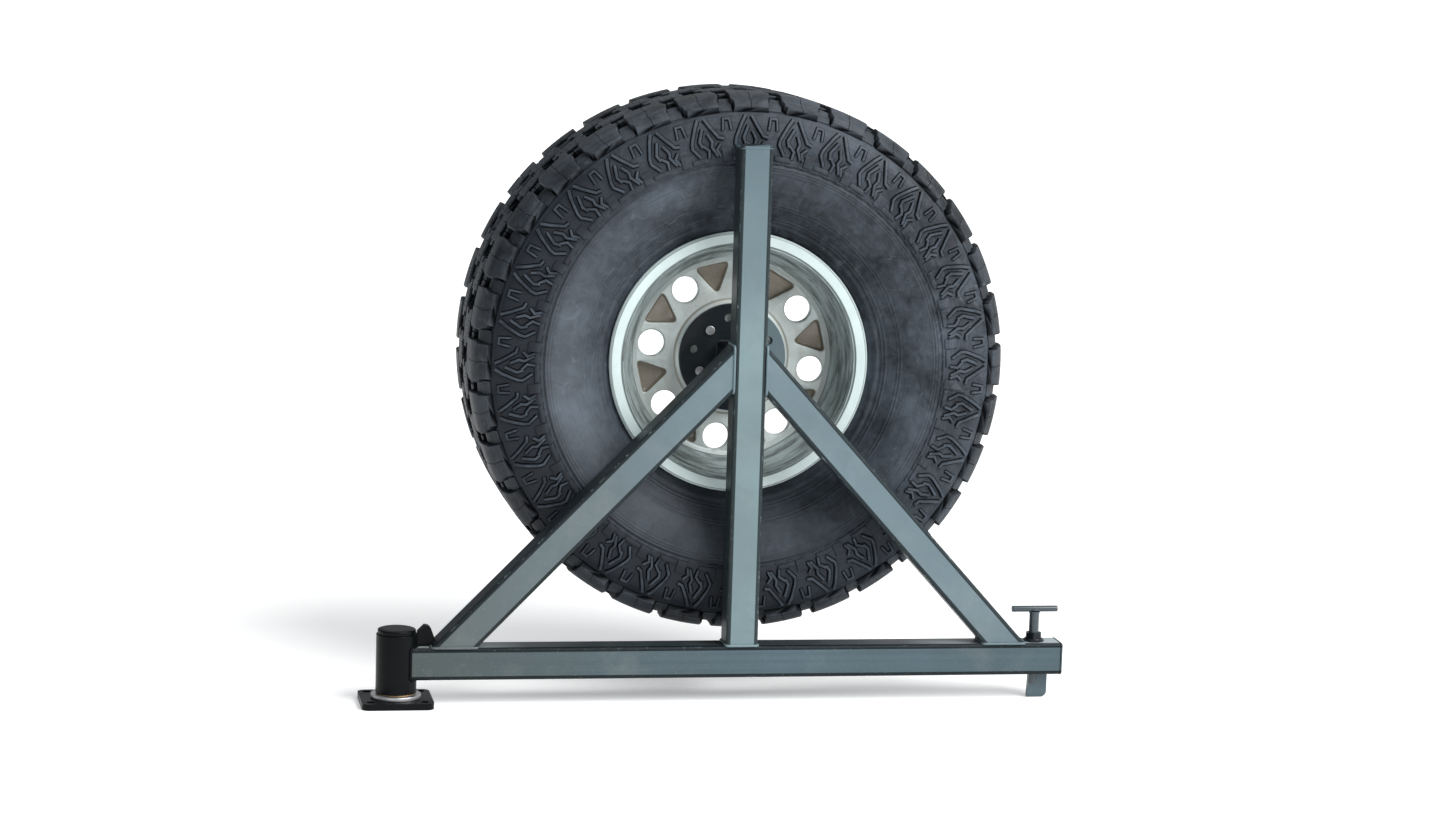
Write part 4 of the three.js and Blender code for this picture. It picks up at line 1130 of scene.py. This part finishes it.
def along_profile(points, spacing):
    """A smooth line through (radius, distance from the middle) points, as evenly spaced points."""
    points = np.array(points, float)
    padded = np.vstack([2 * points[0] - points[1], points, 2 * points[-1] - points[-2]])
    line = []
    for a, b, c, d in zip(padded, padded[1:], padded[2:], padded[3:]):
        for t in np.linspace(0, 1, 24, endpoint=False):
            line.append(0.5 * (2 * b + (c - a) * t + (2 * a - 5 * b + 4 * c - d) * t**2
                               + (3 * b - a - 3 * c + d) * t**3))
    line.append(points[-1])
    line = np.array(line)
    lengths = np.concatenate([[0], np.cumsum(np.linalg.norm(np.diff(line, axis=0), axis=1))])
    targets = np.linspace(0, lengths[-1], int(lengths[-1] / spacing) + 1)
    return np.column_stack([np.interp(targets, lengths, line[:, k]) for k in (0, 1)])


# half section of the carcass: tread floor, shoulder, sidewall
CARCASS = along_profile([
    (414, 0), (413, 50), (411.5, 88), (408.5, 106), (404.5, 121), (399.5, 133), (392, 141.5), (381, 147),
    (366, 150.2), (348, 152.4), (330, 153.8), (314, 154), (298, 152.6), (280, 148.4), (262, 140.8),
    (243, 129.2), (228, 117.8), (217.5, 108.8),
], 1)
BEAD = [(213, 104.8, 2), (208.6, 100.8, 2), (199.5, 97, 3), (BEAD_R, 95, 3), (BEAD_R, 80, 4), (214, 88, 8),
        (262, 127, 25), (315, 143, 30), (372, 134, 25), (398, 90, 25), (402, 0, 0)]

# rings round the sidewall: (radius, height, half width), in millimetres
RINGS = [
    (396, 0.8, 1.2), (318.5, -1.8, 1.5), (314.4, 0.9, 0.9), (310, 0.7, 0.8), (305.6, 0.6, 0.8),
    (256, 0.6, 0.9), (251.5, 0.6, 0.9), (234, 0.7, 1), (229.5, 0.7, 1), (221, 1.8, 2.6),
]


def outward(profile):
    step = np.gradient(profile, axis=0)
    step /= np.linalg.norm(step, axis=1)[:, None]
    return np.column_stack([step[:, 1], -step[:, 0]])


CARCASS_OUT = outward(CARCASS)
SIDEWALL = CARCASS[:, 1] > 100
relief = np.zeros(len(CARCASS))
for ring_r, height, half_width in RINGS:
    away = np.abs(CARCASS[:, 0] - ring_r) / half_width
    relief += np.where(SIDEWALL, height * np.clip(1.6 - away, 0, 1), 0)
carved = CARCASS + CARCASS_OUT * relief[:, None]


def sidewall_at(radius):
    """Place and outward direction of the sidewall's surface, as (radius, distance) pairs."""
    order = np.argsort(CARCASS[:, 0])
    r = CARCASS[order, 0]
    place = np.array([radius, np.interp(radius, r, CARCASS[order, 1])])
    return place, np.array([np.interp(radius, r, CARCASS_OUT[order, k]) for k in (0, 1)])


def tire_point(angle, place, side):
    return wheel_point(angle, place[0], TIRE_MIDDLE + side * place[1] * MM)


half_outer = [tuple(p) for p in carved]
half_bead = [tuple(p) for p in rounded([(*carved[-1], 0)] + BEAD, steps=5)][1:]
half = half_outer + half_bead
section = half + [(r, -d) for r, d in half[::-1]][1:-1]
tire_shape = Shape()
rows = [[tire_point(2 * math.pi * i / TIRE_SIDES, p, 1) for p in section] for i in range(TIRE_SIDES)]
tire_shape.sheet(rows, wrap_rows=True)
piece("tire_carcass", tire_shape, RUBBER, "spare_wheel", ["tire"], crease=50)


SLOT_HALF = 0.5
SLOT_DEPTH = 5


def lug(shape, rows, centre, side, slots=(), bevel=1.1, draft=2.6):
    """A tread block lofted along rows of (outer place, inner place, left, right).

    left and right are in shares of a pitch, and slots are in shares of the block's width.
    """
    loops = []
    last = len(rows) - 1
    for k, (outer, inner, left, right) in enumerate(rows):
        outer, inner = np.array(outer, float), np.array(inner, float)
        down = (inner - outer) / np.linalg.norm(inner - outer)
        drop = bevel if k in (0, last) else 0
        left, right = centre + left * PITCH, centre + right * PITCH
        unit = 1 / outer[0]

        def at(angle, depth):
            return tire_point(angle, outer + down * depth, side)

        loop = [tire_point(left - draft * unit, inner, side), at(left, bevel + drop),
                at(left + bevel * unit, drop)]
        # marks: under zero paint shade at the block's foot and in its slots, over zero a highlight along its
        # top edges
        marks = [-1, -0.35, 0.35]
        shares = sorted([0.2, 0.4, 0.6, 0.8] + list(slots))
        for share in shares:
            angle = left + (right - left) * share
            if share in slots:
                near, far = angle - SLOT_HALF * unit, angle + SLOT_HALF * unit
                loop += [at(near, drop), at(near, SLOT_DEPTH), at(far, SLOT_DEPTH), at(far, drop)]
                marks += [0.2, -1, -1, 0.2]
            else:
                loop.append(at(angle, drop))
                marks.append(0.1)
        loop += [at(right - bevel * unit, drop), at(right, bevel + drop),
                 tire_point(right + draft * unit, inner, side)]
        marks += [0.35, -0.35, -1]
        loops.append(loop)
    shape.sheet(loops, caps=True, marks=marks)


def shoulder_rows(start, low, narrow):
    """The outer lug: across the tread's edge and down the shoulder, with a step in each flank."""
    outer = [(427.3, start), (427.2, start + 1.5), (427, 88), (426.6, 102), (425.6, 112), (423, 120),
             (419.5, 126.6), (415, 132), (411.5, 135.6), (low + 1.5, 138.6), (low, 139.6)]
    inner = [(411.5, start - 2), (411.5, start), (409.5, 88), (406, 102), (404, 110), (402, 117),
             (400, 122), (398, 126), (396, 130), (394, 134), (392, 136)]
    left = [-0.38, -0.38, -0.38, -0.4, -0.4, -0.4, -0.36, -0.36, -0.36, -0.36, -0.36]
    right = [0.32, 0.32, 0.38, 0.38, 0.38, 0.38, 0.38, 0.32, 0.32, 0.32 - narrow, 0.32 - narrow]
    return list(zip(outer, inner, left, right))


# the sloping floor that closes the gap between two outer lugs
BRIDGE = [((417.5, 110), (402, 104), 0.36, 0.64), ((416, 116), (400, 110), 0.36, 0.64),
          ((411.5, 123), (397, 117), 0.36, 0.64), ((406, 130), (393, 124), 0.36, 0.64),
          ((401, 135.5), (390, 129), 0.37, 0.63)]


def centre_rows(end):
    """A block beside the tread's middle, with two steps in its flanks."""
    steps = [(7, 0), (8.5, 0), (22, 0), (24, 1), (40, 1), (42, 0), (end, 0)]
    flanks = [(-0.38, 0.26), (-0.28, 0.36)]
    return [((427.5, d), (412, d - (2 if k == 0 else 0)), *flanks[which])
            for k, (d, which) in enumerate(steps)]


# the raised tread floor between the middle blocks and the outer lugs
TIE_BAR = [((420.5, 46), (405, 46), -0.49, 0.49), ((421.5, 50), (405, 50), -0.49, 0.49),
           ((421.5, 74), (405, 74), -0.49, 0.49), ((420.5, 78), (405, 78), -0.49, 0.49)]


lugs = Shape()
for i in range(PITCHES):
    for side in (-1, 1):
        centre = i * PITCH + (0 if side < 0 else PITCH / 2)
        long_one = i % 2 == 0
        low, narrow = (406.5, 0) if long_one else (409, 0.06)
        lug(lugs, shoulder_rows(60 if long_one else 72, low, narrow), centre, side, slots=(0.5,))
        lug(lugs, BRIDGE, centre, side, draft=1.2, bevel=0.8)
        lug(lugs, TIE_BAR, centre, side, draft=0.4, bevel=0.4)
        lug(lugs, centre_rows(52 if long_one else 62), centre + PITCH * 0.5, side, slots=(0.35, 0.7))
piece("tire_lugs", lugs, TREAD, "spare_wheel", crease=28)


# ---- relief of the upper sidewall: strokes and bars given as (millimetres round, radius) points

STROKE_R = 358
STROKE_SKIRT = 1.7  # the foot of a raised line, where the marks paint shade
STROKE_SECTION = [(1, -0.5), (1, 0.12), (1, 0.75), (0.7, 1), (-0.7, 1), (-1, 0.75), (-1, 0.12),
                  (-1, -0.5)]  # (share of the half width, share of the height; under 0.5 it is millimetres)
BAR_SKIRT = 0.6
# (share of the bar's length, how far under its top; under zero is the bar's foot)
BAR_SECTION = [(0, -0.5), (0, 0.5), (0.02, 0), (0.25, 0), (0.5, 0), (0.75, 0), (0.98, 0), (1, 0.5), (1, -0.5)]
# the skirt's marks paint shade at the foot of the line, the top's marks a highlight
STROKE_MARKS = [-1, -1, -0.2, 1, 1, -0.2, -1, -1]


def raised(angle, radius, height, side):
    place, out = sidewall_at(radius)
    return tire_point(angle, place + out * height, side)


def stroke(shape, points, width, height, centre, side):
    """A raised line with square corners through (round, radius) points."""
    points = [np.array(p, float) for p in points]
    fine = []
    for a, b in zip(points, points[1:]):
        pieces = max(2, int(np.linalg.norm(b - a) / 5))
        fine += [a + (b - a) * k / pieces for k in range(pieces)]
    fine.append(points[-1])
    rows = []
    for k, p in enumerate(fine):
        before = p - fine[k - 1] if k else fine[1] - p
        after = fine[k + 1] - p if k < len(fine) - 1 else before
        before, after = before / np.linalg.norm(before), after / np.linalg.norm(after)
        middle_way = (before + after) / np.linalg.norm(before + after)
        square = np.array([-middle_way[1], middle_way[0]])
        reach = width / 2 / max(0.5, float(middle_way @ before))
        row = []
        for share, level in STROKE_SECTION:
            in_skirt = level < 0.5
            q = p + square * (reach * share + math.copysign(STROKE_SKIRT if in_skirt else 0, share))
            rise = level if in_skirt else level * height
            row.append(raised(centre + side * q[0] / STROKE_R, q[1], rise, side))
        rows.append(row)
    shape.sheet(rows, caps=True, marks=STROKE_MARKS)


def bar(shape, left, right, low, high, height, centre, side):
    """A raised flat bar between two places round and two radii."""
    rows = []
    edge = 0.8
    for r, level in [(low - 0.5, -BAR_SKIRT), (low, height - 0.4), (low + edge, height),
                     ((low + high) / 2, height), (high - edge, height), (high, height - 0.4),
                     (high + 0.5, -BAR_SKIRT)]:
        row = []
        for share, sink in BAR_SECTION:
            a, rise = left + (right - left) * share, level - sink
            if sink < 0:
                a += BAR_SKIRT if share else -BAR_SKIRT
                rise = -BAR_SKIRT
            row.append(raised(centre + side * a / STROKE_R, r, rise, side))
        rows.append(row)
    shape.sheet(rows, caps=True)


STROKES = [
    [(-4, 391), (-10, 381), (-20, 358), (-21, 350), (-11, 335)],
    [(5, 391), (12, 378), (23, 361), (31, 359)],
    [(0, 377), (-8, 359), (-5, 349)],
    [(-4, 352), (5, 343), (3, 331)],
    [(6, 369), (12, 356), (10, 348), (18, 333)],
    [(25, 351), (18, 343), (23, 332)],
]
relief_shape = Shape()
for i in range(PITCHES):
    for side in (-1, 1):
        centre = i * PITCH + (0 if side < 0 else PITCH / 2) + PITCH * 0.06
        for points in STROKES:
            stroke(relief_shape, points, 4.4, 3.8, centre, side)
        # the small arch between two units
        stroke(relief_shape, [(31, 371), (33, 388), (42, 388), (44, 371)], 3, 2.8, centre, side)
        # stepped bars below
        bar(relief_shape, -26, 4, 325, 331.5, 2.2, centre, side)
        bar(relief_shape, 26, 42, 324, 343, 2.2, centre, side)
        for k in range(3):
            start = -28 + k * 23.4
            bar(relief_shape, start, start + 13, 320.6, 322.6, 1.2, centre, side)
piece("tire_relief", relief_shape, RUBBER, "spare_wheel", crease=40)

# ---- floor, light, end

FLOOR_HALF = 120
FLOOR_GLOW = 0.3
floor_mesh = bpy.data.meshes.new("floor")
floor_corners = [(x * FLOOR_HALF, y * FLOOR_HALF, 0) for x, y in ((-1, -1), (1, -1), (1, 1), (-1, 1))]
floor_mesh.from_pydata(floor_corners, [], [(0, 1, 2, 3)])
floor = bpy.data.objects.new("floor", floor_mesh)
floor.location.z = min(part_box("base_plate")[0].z, flag_low.z) - 0.5 * MM
bpy.context.scene.collection.objects.link(floor)
pale = Nodes("pale_floor")
pale.shader.inputs["Emission Color"].default_value = (1, 1, 1, 1)
pale.shader.inputs["Emission Strength"].default_value = FLOOR_GLOW
floor_tone = pale.mix(pale.noise(3), (0.86, 0.87, 0.87), (0.88, 0.885, 0.89))
floor_mesh.materials.append(pale.finish(floor_tone, 0.9))

SUN_FROM = Vector((0.95, -0.95, 1.15))  # from the right, in front and above
sun = bpy.data.objects.new("sun", bpy.data.lights.new("sun", "SUN"))
sun.data.energy = 3.5
sun.data.angle = math.radians(40)
sun.rotation_euler = SUN_FROM.to_track_quat("Z", "Y").to_euler()
bpy.context.scene.collection.objects.link(sun)

world = bpy.data.worlds.new("studio")
world.use_nodes = True
tree = world.node_tree
direction = tree.nodes.new("ShaderNodeTexCoord").outputs["Generated"]
split = tree.nodes.new("ShaderNodeSeparateXYZ")
tree.links.new(direction, split.inputs[0])
sky = tree.nodes.new("ShaderNodeValToRGB")
tilt = tree.nodes.new("ShaderNodeMath")
tilt.operation = "MULTIPLY_ADD"
tilt.inputs[1].default_value = 0.75
tree.links.new(split.outputs["X"], tilt.inputs[0])
tree.links.new(split.outputs["Z"], tilt.inputs[2])
tree.links.new(tilt.outputs[0], sky.inputs[0])
sky.color_ramp.elements[0].position = 0
sky.color_ramp.elements[0].color = (0.1, 0.12, 0.14, 1)
sky.color_ramp.elements[1].position = 0.8
sky.color_ramp.elements[1].color = (1, 1, 1, 1)
background = tree.nodes["Background"]
tree.links.new(sky.outputs[0], background.inputs[0])
background.inputs[1].default_value = 0.8
bpy.context.scene.world = world
